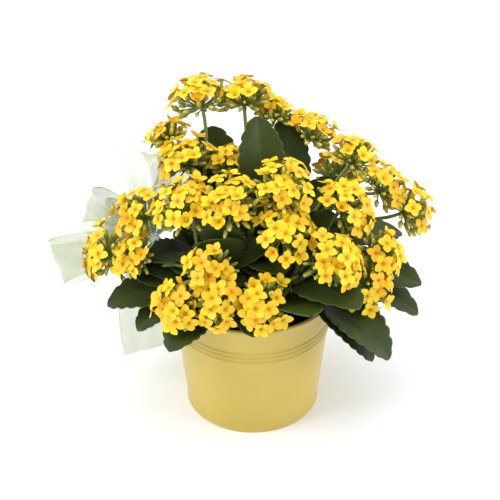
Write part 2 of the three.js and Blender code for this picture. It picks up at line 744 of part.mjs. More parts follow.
// A leaf from its foot on the shoot to its tip, as four-point sections: left edge, top of the rib,
// right edge, keel. Its stalk twists from the shoot's side to the way that the blade faces.
function leafSolid(leaf, grow = 0) {
  const { tip, roll = 0, arch = plainArch } = leaf;
  const shoot = shoots[leaf.shoot];
  const middle = shoot.curve.getPoint(leaf.up);
  const stem = shoot.curve.getTangent(leaf.up);
  const away = tip.clone().sub(middle).projectOnPlane(stem).normalize();
  const foot = middle.clone().addScaledVector(away, shootRadius(leaf.up) + fitGap + 0.1);
  const chord = tip.clone().sub(foot);
  const length = chord.length();
  chord.normalize();
  const footSide = away.clone().cross(stem);
  const bladeSide = chord.clone().cross(up).normalize().applyAxisAngle(chord, radians(roll));
  const rise = bladeSide.clone().cross(chord).multiplyScalar(length * arch * 4);
  const half = leafThickness / 2 + grow;
  const section = (share, halfWidth, top, twist, heading = chord) => {
    const side = along(footSide, bladeSide, twist).normalize();
    const face = side.clone().cross(heading).normalize();
    const centre = foot
      .clone()
      .addScaledVector(chord, length * share)
      .addScaledVector(rise, share * (1 - share));
    const edge = leafTrough * Math.max(0, halfWidth - petioleHalfWidth);
    const corner = (across, out) =>
      centre.clone().addScaledVector(side, across).addScaledVector(face, out);
    return [corner(-halfWidth - grow, edge), corner(0, top), corner(halfWidth + grow, edge), corner(0, -top)];
  };
  const rings = [
    section(0, petioleHalfWidth, half * 1.8, 0, away),
    section(petioleShare * 0.35, petioleHalfWidth * 0.9, half * 1.6, 0.35),
    section(petioleShare * 0.7, petioleHalfWidth, half * 1.5, 0.7),
    section(petioleShare, petioleHalfWidth * 1.2, half * 1.4, 1),
  ];
  for (const q of bladeSections) {
    const share = petioleShare + (1 - petioleShare) * q;
    rings.push(section(share, (leaf.width / 2) * outline(q), half * (1.3 - 0.5 * q), 1));
  }
  return loft(rings, tip.clone().addScaledVector(chord, grow));
}

// The places that a crowded leaf tries, nearest to its own first: turned about its foot by yaw and
// pitch, moved along its shoot by slide, and made shorter by shrink.
const leafChoices = [];
for (let yaw = -60; yaw <= 60; yaw += 5) {
  for (let pitch = -40; pitch <= 40; pitch += 5) {
    for (const slide of [0, -0.08, 0.08, -0.16, 0.16]) {
      for (const shrink of [1, 0.88, 0.76]) leafChoices.push({ yaw, pitch, slide, shrink });
    }
  }
}
const strain = (choice) =>
  Math.hypot(choice.yaw, choice.pitch) + Math.abs(choice.slide) * 45 + (1 - choice.shrink) * 90;
leafChoices.sort((a, b) => strain(a) - strain(b));

function moved(leaf, { yaw, pitch, slide, shrink }) {
  const curve = shoots[leaf.shoot].curve;
  const out = leaf.tip.clone().sub(curve.getPoint(leaf.up)).multiplyScalar(shrink);
  const level = vec(-out.y, out.x, 0).normalize();
  out.applyAxisAngle(level, -radians(pitch)).applyAxisAngle(up, radians(yaw));
  const higher = Math.min(leaf.up + slide, 0.92);
  return { ...leaf, up: higher, tip: out.add(curve.getPoint(leaf.up)), width: leaf.width * shrink };
}

const fits = (leaf) => [fitGap, 0].every((grow) => clear(solidOf(leafSolid(leaf, grow)), leaf.name));

for (const leaf of leaves) {
  const choice = leafChoices.find((each) => fits(moved(leaf, each))) ?? leafChoices[0];
  addAndPlace(leaf.name, leafSolid(moved(leaf, choice)), materials.leaf);
}

export default group;
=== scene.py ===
"""A yellow kalanchoe in a painted tin pail, with a sheer ribbon bow beside its leaves.

The CAD pieces give every place: each leaf, flower, stalk, shoot and ribbon here is built along its
CAD solid, which it replaces. Lengths in this script are millimetres until a mesh is made, and the
part's frame has +Z up and -Y to the front.
"""

import math
import random

import bmesh
import bpy
import numpy as np
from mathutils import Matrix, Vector
from mathutils.bvhtree import BVHTree
from numpy.linalg import norm


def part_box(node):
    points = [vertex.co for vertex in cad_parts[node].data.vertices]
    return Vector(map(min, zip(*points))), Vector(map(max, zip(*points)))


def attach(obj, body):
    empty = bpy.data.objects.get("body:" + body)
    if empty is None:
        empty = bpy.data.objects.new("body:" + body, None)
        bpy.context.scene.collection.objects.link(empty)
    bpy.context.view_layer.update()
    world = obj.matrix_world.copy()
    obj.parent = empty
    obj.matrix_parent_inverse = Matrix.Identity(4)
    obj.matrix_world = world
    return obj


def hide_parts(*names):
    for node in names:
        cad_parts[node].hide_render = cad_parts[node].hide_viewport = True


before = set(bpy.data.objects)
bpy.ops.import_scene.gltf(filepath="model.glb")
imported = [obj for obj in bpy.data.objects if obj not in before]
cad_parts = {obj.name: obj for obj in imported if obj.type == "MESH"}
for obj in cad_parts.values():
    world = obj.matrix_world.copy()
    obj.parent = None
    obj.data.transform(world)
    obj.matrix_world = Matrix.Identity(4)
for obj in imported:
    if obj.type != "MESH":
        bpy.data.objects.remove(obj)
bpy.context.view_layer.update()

# ---- dimensions, as in the CAD model

PAIL_HEIGHT = 98.0
RIM_RADIUS = 60.0
FOOT_RADIUS = 49.5
TIN_WALL = 0.8
RIM_ROLL = 1.5
FOOT_BEAD_HEIGHT = 2.4
FOOT_BEAD_PROUD = 0.6
BEAD_HEIGHTS = (68.2, 72.1, 76.0)
BEAD_HALF = 1.8
BEAD_PROUD = 0.9
SEAM_WIDTH = 5.0
SEAM_PROUD = 0.45
DISC_THICKNESS = 0.8
DISC_FLANGE = 4.5
GROW_POT_LIP_DEPTH = 3.0
GROW_POT_LIP = 3.5
GROW_POT_WALL = 0.9
GROW_POT_FOOT_RADIUS = 38.0
RIBBON_WIDTH = 36.0
FIT_GAP = 0.3
PETIOLE_SHARE = 0.34
PETIOLE_HALF_WIDTH = 2.0
FORK_DEPTH = (8, 34)  # least and most that a fork lies behind its flowers
FORK_MISS = 0.03  # most that two flowers' axes pass each other by at their fork
SAME_FORK = 0.6  # most between the meeting points that belong to one fork
PARALLEL = 0.08  # sine of the angle under which two axes have no clear meeting point
FORK_SHARE = 0.6  # where a second head's stalk leaves the first one's
PLANT_MIDDLE = (0.0, 15.0, 3.0)  # heads face away from here, over the soil

# ---- dimensions of the fine surface

AXIS = 0.01  # outlines start this far from the axis
FLAT_RADIUS = 30.0  # flat discs have a ring of points here
EDGE_ROUND = 0.6
LOWER_WALL = (4.0, 64.0)
UPPER_WALL = (80.0, 93.0)
SEAM_START = 3.0
SEAM_FADE = 4.0
SOIL_BELOW_LIP = 7.0
SOIL_SINK = 0.8  # how far the uneven surface lies below the CAD plug's top
SOIL_DOME = 2.0  # how much lower the edge is than the middle
CRUMBS = 260
CRUMBS_REACH = 44.0
SOIL_RADIUS = 49.0
SHOOT_RADIUS = 4.0
SHOOT_TAPER = 0.9
SCARS = 6  # rings that fallen leaves left on a shoot
SCAR_RISE = 0.45
COLLAR_RADII = (3.5, 4.2, 4.7, 4.7, 4.3)
SCALLOP_DEPTH = 0.095  # of the blade's half-width
TROUGH = 0.16  # how far a blade's sides rise, of its half-width
LEAF_ROOM = 1.5  # between a young leaf and any CAD piece
PETAL_HALF_WIDTH = 3.1  # on a flower of the usual radius
USUAL_RADIUS = 8.0
STALK_TO_FORK = 22.0  # from a flower to its fork, where no other flower's axis shows it
HEAD_SITES = 70  # places tried for a flower in each head
HEAD_LEAN = math.radians(80)
FLOWER_ROOM = 9.0  # between flowers of one head
OTHER_ROOM = 8.2  # between flowers of any heads
BUD_SITES = 40
BUD_LEAN = math.radians(104)
BUD_SPREAD = math.radians(11)  # between a bud and its neighbours
STALK_RADIUS = 1.7
BRANCH_RADIUS = 1.3
PLEAT_DEPTH = 2.1
PLEAT_TURN = 6.6  # radians of the pleats' wave, from the ribbon's middle to its edge
RIPPLE = 0.5
PICK_RADIUS = 1.35
FAR = 60.0  # nothing further off than this is looked for

# ---- mesh helpers


def unit(v):
    """v with length 1."""
    v = np.asarray(v, float)
    return v / (norm(v, axis=-1, keepdims=True) + 1e-12)


def turned(v, axis, angle):
    """v turned about a unit axis."""
    cosine, sine = math.cos(angle), math.sin(angle)
    return v * cosine + np.cross(axis, v) * sine + axis * (axis @ v) * (1 - cosine)


def across(axis):
    """Two unit vectors at right angles to axis and to each other."""
    other = np.array([0.0, 0.0, 1.0]) if abs(axis[2]) < 0.9 else np.array([1.0, 0.0, 0.0])
    side = unit(np.cross(axis, other))
    return side, np.cross(axis, side)


def spline(values, at):
    """A smooth curve through points or numbers, at places counted in steps from the first one."""
    values = np.asarray(values, float)
    padded = np.concatenate([[2 * values[0] - values[1]], values, [2 * values[-1] - values[-2]]])
    i = np.clip(np.floor(at).astype(int), 0, len(values) - 2)
    t = (at - i).reshape((-1,) + (1,) * (values.ndim - 1))
    a, b, c, d = padded[i], padded[i + 1], padded[i + 2], padded[i + 3]
    square, cube = 2 * a - 5 * b + 4 * c - d, 3 * b - a - 3 * c + d
    return 0.5 * (2 * b + (c - a) * t + square * t**2 + cube * t**3)


def bezier(a, b, c, d, count):
    """Points along a cubic Bezier curve."""
    t = np.linspace(0, 1, count)[:, None]
    return a * (1 - t) ** 3 + 3 * b * t * (1 - t) ** 2 + 3 * c * t**2 * (1 - t) + d * t**3


def placed_object(name, data):
    """A new object in the scene."""
    made = bpy.data.objects.new(name, data)
    bpy.context.scene.collection.objects.link(made)
    return made


def circle(count):
    """Angles evenly round a circle."""
    return np.linspace(0, 2 * math.pi, count, endpoint=False)


def wheel(angles, side, other):
    """Unit vectors at these angles, in the plane of two unit vectors."""
    return np.cos(angles)[:, None] * side + np.sin(angles)[:, None] * other


def run_of(line):
    """How far each point of a line is along it."""
    return np.concatenate([[0], np.cumsum(norm(np.diff(line, axis=0), axis=1))])


class Skin:
    """Collects surface patches, each with a material and tints, and makes one mesh object of them.

    A tint is four numbers a point that the materials read: how far along the patch it is, how far
    across, a third that each patch uses in its own way, and one that varies from copy to copy."""

    def __init__(self):
        self.points = []
        self.tints = []
        self.faces = []
        self.slots = []
        self.count = 0

    def patch(self, points, tints, slot, wrap=False):
        """A grid of rows and columns. With wrap, the last column joins the first."""
        rows, columns = points.shape[:2]
        index = self.count + np.arange(rows * columns).reshape(rows, columns)
        right = np.roll(index, -1, axis=1) if wrap else index[:, 1:]
        left = index if wrap else index[:, :-1]
        quads = np.stack([left[:-1], right[:-1], right[1:], left[1:]], axis=-1).reshape(-1, 4)
        self.points.append(points.reshape(-1, 3))
        self.tints.append(np.broadcast_to(tints, points.shape[:2] + (4,)).reshape(-1, 4))
        self.faces.extend(quads.tolist())
        self.slots.extend([slot] * len(quads))
        self.count += rows * columns
        return index

    def tube(self, rings, tints, slot, closed=True):
        """A patch that joins round, with its two ends closed if asked."""
        index = self.patch(rings, tints, slot, wrap=True)
        if closed:
            for loop in (index[0][::-1], index[-1]):
                self.faces.append(list(loop))
                self.slots.append(slot)

    def make(self, name, materials):
        """One smooth mesh object, in metres."""
        mesh = bpy.data.meshes.new(name)
        mesh.from_pydata((np.concatenate(self.points) / 1000).tolist(), [], self.faces)
        tint = mesh.attributes.new("tint", "FLOAT_COLOR", "POINT")
        tint.data.foreach_set("color", np.concatenate(self.tints).astype(np.float32).ravel())
        mesh.polygons.foreach_set("material_index", self.slots)
        for material in materials:
            mesh.materials.append(material)
        mesh.shade_smooth()
        mesh.validate()
        return placed_object(name, mesh)


def tints(along, over=0.0, third=0.0, copy=0.0):
    """A tint grid: along varies by row and over by column."""
    along, over = np.atleast_1d(along), np.atleast_1d(over)
    grid = np.zeros((len(along), len(over), 4))
    grid[..., 0] = along[:, None]
    grid[..., 1] = over[None, :]
    grid[..., 2] = third
    grid[..., 3] = copy
    return grid


def add_tube(skin, path, radii, sides, slot, third=0.0, copy=0.0, closed=True):
    """A round tube along path, with a radius for each of its points."""
    path = np.asarray(path, float)
    radii = np.broadcast_to(radii, len(path))
    heading = unit(np.gradient(path, axis=0))
    side, _ = across(heading[0])
    angles = circle(sides)
    rings = []
    for centre, way, radius in zip(path, heading, radii):
        side = unit(side - way * (side @ way))
        rings.append(centre + radius * wheel(angles, side, np.cross(way, side)))
    shades = tints(np.linspace(0, 1, len(path)), angles / (2 * math.pi), third, copy)
    skin.tube(np.array(rings), shades, slot, closed)


def weld(piece, distance, close=False):
    """Joins a piece's doubled points, closes its holes if asked, and turns its faces outwards."""
    net = bmesh.new()
    net.from_mesh(piece.data)
    bmesh.ops.remove_doubles(net, verts=net.verts, dist=distance)
    if close:
        bmesh.ops.holes_fill(net, edges=[e for e in net.edges if e.is_boundary], sides=0)
    bmesh.ops.recalc_face_normals(net, faces=net.faces)
    net.to_mesh(piece.data)
    net.free()
    piece.data.shade_smooth()
    return piece


def lathe(name, outline, sides, material, bulge=None):
    """A turned solid from a closed outline of (radius, height) pairs.

    bulge(angles, radii, heights) says how far each point moves out."""
    outline = np.array(outline + outline[:1], float)
    angles = circle(sides)
    radii = np.repeat(outline[:, :1], sides, axis=1)
    heights = np.repeat(outline[:, 1:], sides, axis=1)
    if bulge:
        radii = radii + bulge(angles[None, :], radii, heights)
    points = np.stack([radii * np.cos(angles), radii * np.sin(angles), heights], axis=-1)
    skin = Skin()
    along = np.linspace(0, 1, len(outline))
    skin.patch(points, tints(along, angles / (2 * math.pi)), 0, wrap=True)
    return weld(skin.make(name, [material]), 1e-6)


def arc(centre_r, centre_z, radius, start, end, count):
    """Outline points on a circle, between two angles in degrees."""
    return [
        (centre_r + radius * math.cos(math.radians(a)), centre_z + radius * math.sin(math.radians(a)))
        for a in np.linspace(start, end, count)
    ]


def stand_for(piece, node_name):
    """Makes piece ride the part's one body and stand for a CAD node, or for none where that is None."""
    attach(piece, "root")
    if node_name:
        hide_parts(node_name)


def box_of(node_name):
    """The lowest and highest corners of a CAD node's box, in millimetres."""
    return [np.array(corner) * 1000 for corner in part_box(node_name)]


# ---- reading the CAD pieces


def welded(node_name):
    """A CAD node's points in millimetres, and each point's neighbours."""
    net = bmesh.new()
    net.from_mesh(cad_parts[node_name].data)
    bmesh.ops.remove_doubles(net, verts=net.verts, dist=1e-5)
    net.verts.index_update()
    points = np.array([v.co for v in net.verts]) * 1000
    neighbours = [{e.other_vert(v).index for e in v.link_edges} for v in net.verts]
    net.free()
    return points, neighbours


def layers(neighbours, start):
    """The points one step from start, then those two steps away, and so on, with start first."""
    seen, found = set(start), [sorted(start)]
    while True:
        ring = {n for i in found[-1] for n in neighbours[i]} - seen
        if not ring:
            return found
        seen |= ring
        found.append(sorted(ring))


NODES = sorted(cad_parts)
SOIL_FOOT, SOIL_TOP = (corner[2] for corner in box_of("soil"))
MIDDLE = np.array(PLANT_MIDDLE) + np.array([0, 0, SOIL_TOP])


def obstacle_tree(names):
    """A tree that finds the nearest surface of several CAD nodes."""
    points, faces = [], []
    for name in names:
        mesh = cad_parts[name].data
        base = len(points)
        points.extend(v.co * 1000 for v in mesh.vertices)
        faces.extend([base + i for i in p.vertices] for p in mesh.polygons)
    return BVHTree.FromPolygons(points, faces)


def gap(tree, point):
    """How far a point is from a tree's surfaces, up to FAR."""
    distance = tree.find_nearest(Vector(point), FAR)[3]
    return FAR if distance is None else distance


def clearance(points, point):
    """How far a point is from the nearest of several points."""
    return norm(np.array(points) - point, axis=1).min()


# ---- material helpers


def new_material(name, **numbers):
    """A material, its node tree and its shader. Numbers that are the same all over go on the shader."""
    material = bpy.data.materials.new(name)
    material.use_nodes = True
    tree = material.node_tree
    shader = tree.nodes["Principled BSDF"]
    for key, value in numbers.items():
        shader.inputs[key.replace("_", " ")].default_value = value
    return material, tree, shader


def node(tree, kind, inputs=None, **settings):
    """Adds a node, sets it up and links or sets its inputs."""
    made = tree.nodes.new(kind)
    for key, value in settings.items():
        setattr(made, key, value)
    for key, value in (inputs or {}).items():
        if isinstance(value, bpy.types.NodeSocket):
            tree.links.new(value, made.inputs[key])
        else:
            made.inputs[key].default_value = value
    return made


def ramp(tree, value, *stops):
    """A colour ramp over value, from (place, colour) stops."""
    made = node(tree, "ShaderNodeValToRGB", {"Fac": value})
    elements = made.color_ramp.elements
    while len(elements) < len(stops):
        elements.new(0.5)
    for element, (place, colour) in zip(elements, stops):
        element.position = place
        element.color = (*colour, 1.0)
    return made.outputs["Color"]


def mottled(tree, value, low, high):
    """Two colours, blended where value runs from 0.3 to 0.7."""
    return ramp(tree, value, (0.3, low), (0.7, high))


def maths(tree, operation, *values):
    """A maths node's result."""
    return node(tree, "ShaderNodeMath", dict(enumerate(values)), operation=operation).outputs[0]


def times(tree, a, b):
    """The product of two values."""
    return maths(tree, "MULTIPLY", a, b)


def sloped(tree, value, slope, start):
    """A straight line of value."""
    return maths(tree, "MULTIPLY_ADD", value, slope, start)


def mixed(tree, share, a, b):
    """Two colours mixed by share."""
    made = node(tree, "ShaderNodeMix", {0: share}, data_type="RGBA")
    for socket, value in ((made.inputs[6], a), (made.inputs[7], b)):
        if isinstance(value, bpy.types.NodeSocket):
            tree.links.new(value, socket)
        else:
            socket.default_value = (*value, 1.0)
    return made.outputs[2]


def noise(tree, scale, detail=3.0, roughness=0.5, stretch=None):
    """Noise over the object's own space. Scale is in cells a metre."""
    where = node(tree, "ShaderNodeTexCoord").outputs["Object"]
    if stretch:
        where = node(tree, "ShaderNodeMapping", {"Vector": where, "Scale": stretch}).outputs[0]
    inputs = {"Vector": where, "Scale": scale, "Detail": detail, "Roughness": roughness}
    return node(tree, "ShaderNodeTexNoise", inputs).outputs["Fac"]


def tint_of(tree):
    """The four tints of a point: along, across, third and copy."""
    read = node(tree, "ShaderNodeAttribute", attribute_name="tint")
    split = node(tree, "ShaderNodeSeparateColor", {"Color": read.outputs["Color"]})
    return (*split.outputs[:3], read.outputs["Alpha"])


def bump(tree, shader, height, distance, strength):
    """Fine relief of the given depth in metres."""
    inputs = {"Height": height, "Distance": distance, "Strength": strength}
    made = node(tree, "ShaderNodeBump", inputs)
    tree.links.new(made.outputs[0], shader.inputs["Normal"])


def from_middle(tree, over):
    """0 at the middle of a patch and 1 at its two sides."""
    return maths(tree, "ABSOLUTE", sloped(tree, over, 2.0, -1.0))


def vary(tree, shader, colour, roughness=None):
    """Links a colour, and a roughness that varies, to the shader."""
    tree.links.new(colour, shader.inputs["Base Color"])
    if roughness is not None:
        tree.links.new(roughness, shader.inputs["Roughness"])


# ---- materials


def painted_tin():
    """Satin pale yellow paint, with a faint orange peel and slightly uneven gloss."""
    material, tree, shader = new_material("painted_tin", Specular_IOR_Level=0.55)
    cloud = noise(tree, 22.0, 4.0)
    colour = mottled(tree, cloud, (0.525, 0.388, 0.060), (0.572, 0.430, 0.078))
    gloss = sloped(tree, noise(tree, 60.0), 0.12, 0.27)
    vary(tree, shader, colour, gloss)
    bump(tree, shader, noise(tree, 900.0, 2.0), 0.00004, 0.5)
    return material


def pot_plastic():
    """Dark moulded plastic."""
    material, tree, shader = new_material("pot_plastic")
    colour = mottled(tree, noise(tree, 90.0), (0.010, 0.011, 0.009), (0.022, 0.023, 0.019))
    vary(tree, shader, colour, sloped(tree, noise(tree, 300.0), 0.25, 0.4))
    bump(tree, shader, noise(tree, 2500.0, 2.0), 0.00005, 0.4)
    return material


def potting_mix():
    """Dark, crumbly peat with paler fibres."""
    material, tree, shader = new_material("potting_mix", Roughness=0.95, Specular_IOR_Level=0.2)
    grain = noise(tree, 420.0, 8.0, 0.7)
    dark, brown, fibre = (0.010, 0.006, 0.004), (0.045, 0.026, 0.015), (0.12, 0.075, 0.045)
    colour = ramp(tree, grain, (0.32, dark), (0.55, brown), (0.75, fibre))
    vary(tree, shader, colour)
    bump(tree, shader, grain, 0.0016, 0.9)
    return material


def leaf_skin():
    """Thick, dark green, slightly glossy leaf: paler veins and underside, and a painted highlight on the
    margin.
    """
    material, tree, shader = new_material("leaf_skin", Specular_IOR_Level=0.22)
    along, over, under, copy = tint_of(tree)
    side = from_middle(tree, over)
    cloud = noise(tree, 45.0, 5.0)
    deep = mottled(tree, cloud, (0.013, 0.026, 0.003), (0.034, 0.055, 0.006))
    fresh = mottled(tree, cloud, (0.030, 0.050, 0.005), (0.062, 0.088, 0.010))
    face = mixed(tree, copy, deep, fresh)
    sweep = sloped(tree, side, -1.1, times(tree, along, 8.0))
    wave = maths(tree, "ABSOLUTE", maths(tree, "SINE", times(tree, sweep, math.pi)))
    vein = maths(tree, "POWER", maths(tree, "SUBTRACT", 1.0, wave), 9.0)
    rib = maths(tree, "POWER", maths(tree, "SUBTRACT", 1.0, side), 26.0)
    faint = times(tree, vein, 0.20)
    lines = maths(tree, "MAXIMUM", faint, times(tree, rib, 0.42))
    veined = mixed(tree, lines, face, (0.080, 0.115, 0.020))
    # Painted highlight: a thin light line along the margin, where the thick edge of the leaf would catch
    # the light.
    margin = times(tree, maths(tree, "POWER", side, 30.0), 0.7)
    with_margin_highlight = mixed(tree, margin, veined, (0.14, 0.17, 0.055))
    colour = mixed(tree, under, with_margin_highlight, (0.066, 0.098, 0.024))
    gloss = sloped(tree, noise(tree, 110.0, 4.0), 0.28, 0.30)
    vary(tree, shader, colour, gloss)
    relief = sloped(tree, lines, -0.7, noise(tree, 320.0, 4.0))
    bump(tree, shader, relief, 0.00045, 0.55)
    return material


def stem_skin():
    """Fleshy green stem: copy 0 is fresh green, and copy 1 the browner foot of an old shoot."""
    material, tree, shader = new_material("stem_skin")
    _, _, _, copy = tint_of(tree)
    streak = noise(tree, 160.0, 4.0, 0.5, (1.0, 1.0, 0.25))
    fresh = mottled(tree, streak, (0.125, 0.195, 0.035), (0.22, 0.30, 0.065))
    old = mottled(tree, streak, (0.075, 0.070, 0.030), (0.15, 0.15, 0.06))
    vary(tree, shader, mixed(tree, copy, fresh, old), sloped(tree, streak, 0.25, 0.33))
    bump(tree, shader, noise(tree, 700.0), 0.0001, 0.5)
    return material


def petal_skin():
    """Bright yellow petal, orange at the throat and finely streaked along its length."""
    material, tree, shader = new_material(
        "petal_skin",
        Specular_IOR_Level=0.35,
        Subsurface_Weight=0.18,
        Subsurface_Radius=(0.0022, 0.0012, 0.0003),
        Subsurface_Scale=1.0,
    )
    along, over, _, copy = tint_of(tree)
    body = ramp(
        tree,
        along,
        (0.0, (0.60, 0.27, 0.005)),
        (0.12, (0.82, 0.46, 0.006)),
        (0.32, (0.88, 0.61, 0.010)),
        (1.0, (0.92, 0.71, 0.018)),
    )
    warm = mixed(tree, times(tree, copy, 0.62), body, (0.84, 0.40, 0.006))
    streak = maths(tree, "SINE", times(tree, over, 44.0))
    fine = sloped(tree, streak, 0.5, 0.5)
    colour = mixed(tree, times(tree, fine, 0.07), warm, (0.86, 0.50, 0.005))
    vary(tree, shader, colour, sloped(tree, noise(tree, 300.0), 0.2, 0.4))
    bump(tree, shader, sloped(tree, fine, 0.6, noise(tree, 900.0)), 0.00008, 0.5)
    return material


def bud_skin():
    """Buds, flower tubes and small leaves: green, and towards the tip as yellow as third says."""
    material, tree, shader = new_material("bud_skin")
    along, _, third, _ = tint_of(tree)
    cloud = noise(tree, 420.0, 3.0)
    green = mottled(tree, cloud, (0.19, 0.26, 0.045), (0.31, 0.39, 0.085))
    yellow = mottled(tree, cloud, (0.72, 0.58, 0.040), (0.90, 0.72, 0.075))
    ripe = times(tree, maths(tree, "POWER", along, 0.8), third)
    vary(tree, shader, mixed(tree, ripe, green, yellow), sloped(tree, cloud, 0.2, 0.36))
    bump(tree, shader, noise(tree, 1200.0), 0.00006, 0.5)
    return material


def organza():
    """Sheer pale green ribbon: a fine weave that shows what is behind it, and a denser woven edge."""
    sheen = {"Sheen_Weight": 0.35, "Sheen_Roughness": 0.4}
    material, tree, shader = new_material("organza", Roughness=0.42, **sheen)
    along, over, _, _ = tint_of(tree)
    side = from_middle(tree, over)
    edge = maths(tree, "GREATER_THAN", side, 0.94)
    warp = maths(tree, "SINE", times(tree, over, 330.0))
    weft = maths(tree, "SINE", times(tree, along, 1400.0))
    weave = times(tree, maths(tree, "ADD", warp, weft), 0.25)
    cloud = noise(tree, 60.0, 3.0)
    colour = mottled(tree, cloud, (0.41, 0.47, 0.29), (0.55, 0.61, 0.41))
    vary(tree, shader, mixed(tree, edge, colour, (0.64, 0.70, 0.48)))
    sheer = sloped(tree, cloud, 0.16, 0.52)
    woven = sloped(tree, weave, 0.12, sheer)
    tree.links.new(sloped(tree, edge, 0.35, woven), shader.inputs["Alpha"])
    bump(tree, shader, weave, 0.0001, 0.5)
    return material


def bare_wood():
    """Pale wood with grain along the stick."""
    material, tree, shader = new_material("bare_wood")
    grain = noise(tree, 350.0, 6.0, 0.6, (1.0, 1.0, 0.12))
    colour = mottled(tree, grain, (0.36, 0.22, 0.10), (0.62, 0.44, 0.24))
    vary(tree, shader, colour, sloped(tree, grain, 0.3, 0.5))
    bump(tree, shader, grain, 0.0002, 0.6)
    return material


TIN = painted_tin()
PLASTIC = pot_plastic()
MIX = potting_mix()
LEAF = leaf_skin()
STEM = stem_skin()
PETAL = petal_skin()
BUD = bud_skin()
ORGANZA = organza()
WOOD = bare_wood()

# ---- pail

WALL_TOP_RADIUS = RIM_RADIUS - RIM_ROLL


def wall(z):
    """The outside of the pail's wall at a height."""
    return FOOT_RADIUS + (WALL_TOP_RADIUS - FOOT_RADIUS) * z / PAIL_HEIGHT


def pail_outline():
    """The pail's wall in section: rolled rim, rounded ridges, foot bead."""
    outline = [(wall(0), 0.0)]
    for a in np.linspace(0, math.pi, 7):
        height = FOOT_BEAD_HEIGHT * (1 - math.cos(a)) / 2
        outline.append((wall(0) + FOOT_BEAD_PROUD * math.sin(a), height))
    outline += [(wall(z), z) for z in np.linspace(*LOWER_WALL, 13)]
    for height in BEAD_HEIGHTS:
        for s in np.linspace(-1, 1, 9):
            z = height + s * BEAD_HALF
            outline.append((wall(z) + BEAD_PROUD * (0.5 + 0.5 * math.cos(math.pi * s)), z))
    outline += [(wall(z), z) for z in np.linspace(*UPPER_WALL, 5)]
    roll_z = PAIL_HEIGHT - RIM_ROLL
    outline += arc(WALL_TOP_RADIUS, roll_z, RIM_ROLL, -75, 180, 14)
    outline += [(wall(z) - TIN_WALL, z) for z in np.linspace(94, 0, 16)]
    return outline


def side_seam(angles, radii, heights):
    """A lapped seam down the outside of the back, which fades out towards the rim and the foot."""
    offset = (np.mod(angles - math.pi / 2 + math.pi, 2 * math.pi) - math.pi) * radii
    lap = 1 / (1 + np.exp((np.abs(offset) - SEAM_WIDTH / 2) * 6))
    from_foot = np.clip((heights - SEAM_START) / SEAM_FADE, 0, 1)
    from_rim = np.clip((PAIL_HEIGHT - SEAM_FADE - heights) / SEAM_FADE, 0, 1)
    outside = radii > wall(heights) - TIN_WALL / 2
    return lap * (from_foot * from_rim) * SEAM_PROUD * outside


stand_for(lathe("pail", pail_outline(), 256, TIN, side_seam), "pail_body")


def disc_edge(z):
    """The outside of the base disc, clear of the wall."""
    return wall(z) - TIN_WALL - FIT_GAP


def disc_outline():
    """The base disc in section, with its flange turned up inside the wall."""
    inner = disc_edge(DISC_FLANGE) - DISC_THICKNESS
    return [
        (AXIS, 0.0),
        (FLAT_RADIUS, 0.0),
        (disc_edge(0) - 0.5, 0.0),
        *arc(disc_edge(EDGE_ROUND) - EDGE_ROUND, EDGE_ROUND, EDGE_ROUND, -70, 0, 5),
        (disc_edge(DISC_FLANGE), DISC_FLANGE),
        (inner, DISC_FLANGE),
        (disc_edge(1.2) - DISC_THICKNESS, 1.2),
        (disc_edge(DISC_THICKNESS) - 1.4, DISC_THICKNESS),
        (FLAT_RADIUS, DISC_THICKNESS),
        (AXIS, DISC_THICKNESS),
    ]


stand_for(lathe("pail_bottom", disc_outline(), 128, TIN), "pail_base")

# ---- grow pot and soil

POT_FOOT = box_of("grow_pot")[0][2]
LIP_RADIUS = box_of("grow_pot")[1][0]
LIP_TOP = box_of("grow_pot")[1][2]
LIP_FOOT = LIP_TOP - GROW_POT_LIP_DEPTH


def pot_wall(z):
    """The outside of the grow pot's wall at a height."""
    share = (z - POT_FOOT) / (LIP_TOP - POT_FOOT)
    return GROW_POT_FOOT_RADIUS + (LIP_RADIUS - GROW_POT_LIP - GROW_POT_FOOT_RADIUS) * share


def pot_outline():
    """The grow pot in section, with a lip turned outwards."""
    floor_top = POT_FOOT + GROW_POT_WALL
    return [
        (AXIS, POT_FOOT),
        (FLAT_RADIUS, POT_FOOT),
        (pot_wall(POT_FOOT), POT_FOOT),
        (pot_wall(LIP_FOOT), LIP_FOOT),
        (LIP_RADIUS - 0.3, LIP_FOOT),
        (LIP_RADIUS, LIP_FOOT + 0.4),
        *arc(LIP_RADIUS - EDGE_ROUND, LIP_TOP - EDGE_ROUND, EDGE_ROUND, 0, 90, 5),
        *arc(pot_wall(LIP_TOP) - GROW_POT_WALL + 0.5, LIP_TOP - 0.5, 0.5, 90, 180, 5),
        (pot_wall(POT_FOOT) - GROW_POT_WALL, floor_top),
        (AXIS, floor_top),
    ]


stand_for(lathe("nursery_pot", pot_outline(), 128, PLASTIC), "grow_pot")


# Waves in the soil's surface: how far each turns in a millimetre along x and y, and its height.
SOIL_WAVES = (
    (0.31, 0.17, 0.6),
    (-0.42, 0.53, 0.35),
    (0.9, -0.77, 0.25),
    (1.7, 1.3, 0.18),
    (-2.3, 1.9, 0.12),
)


def soil_surface(x, y, share):
    """The height of the uneven soil, where share is how far out towards the pot the point is."""
    uneven = sum(size * math.sin(a * x + 1.3 * size + b * y) for a, b, size in SOIL_WAVES)
    return SOIL_TOP - SOIL_DOME * share**2 + uneven - SOIL_SINK


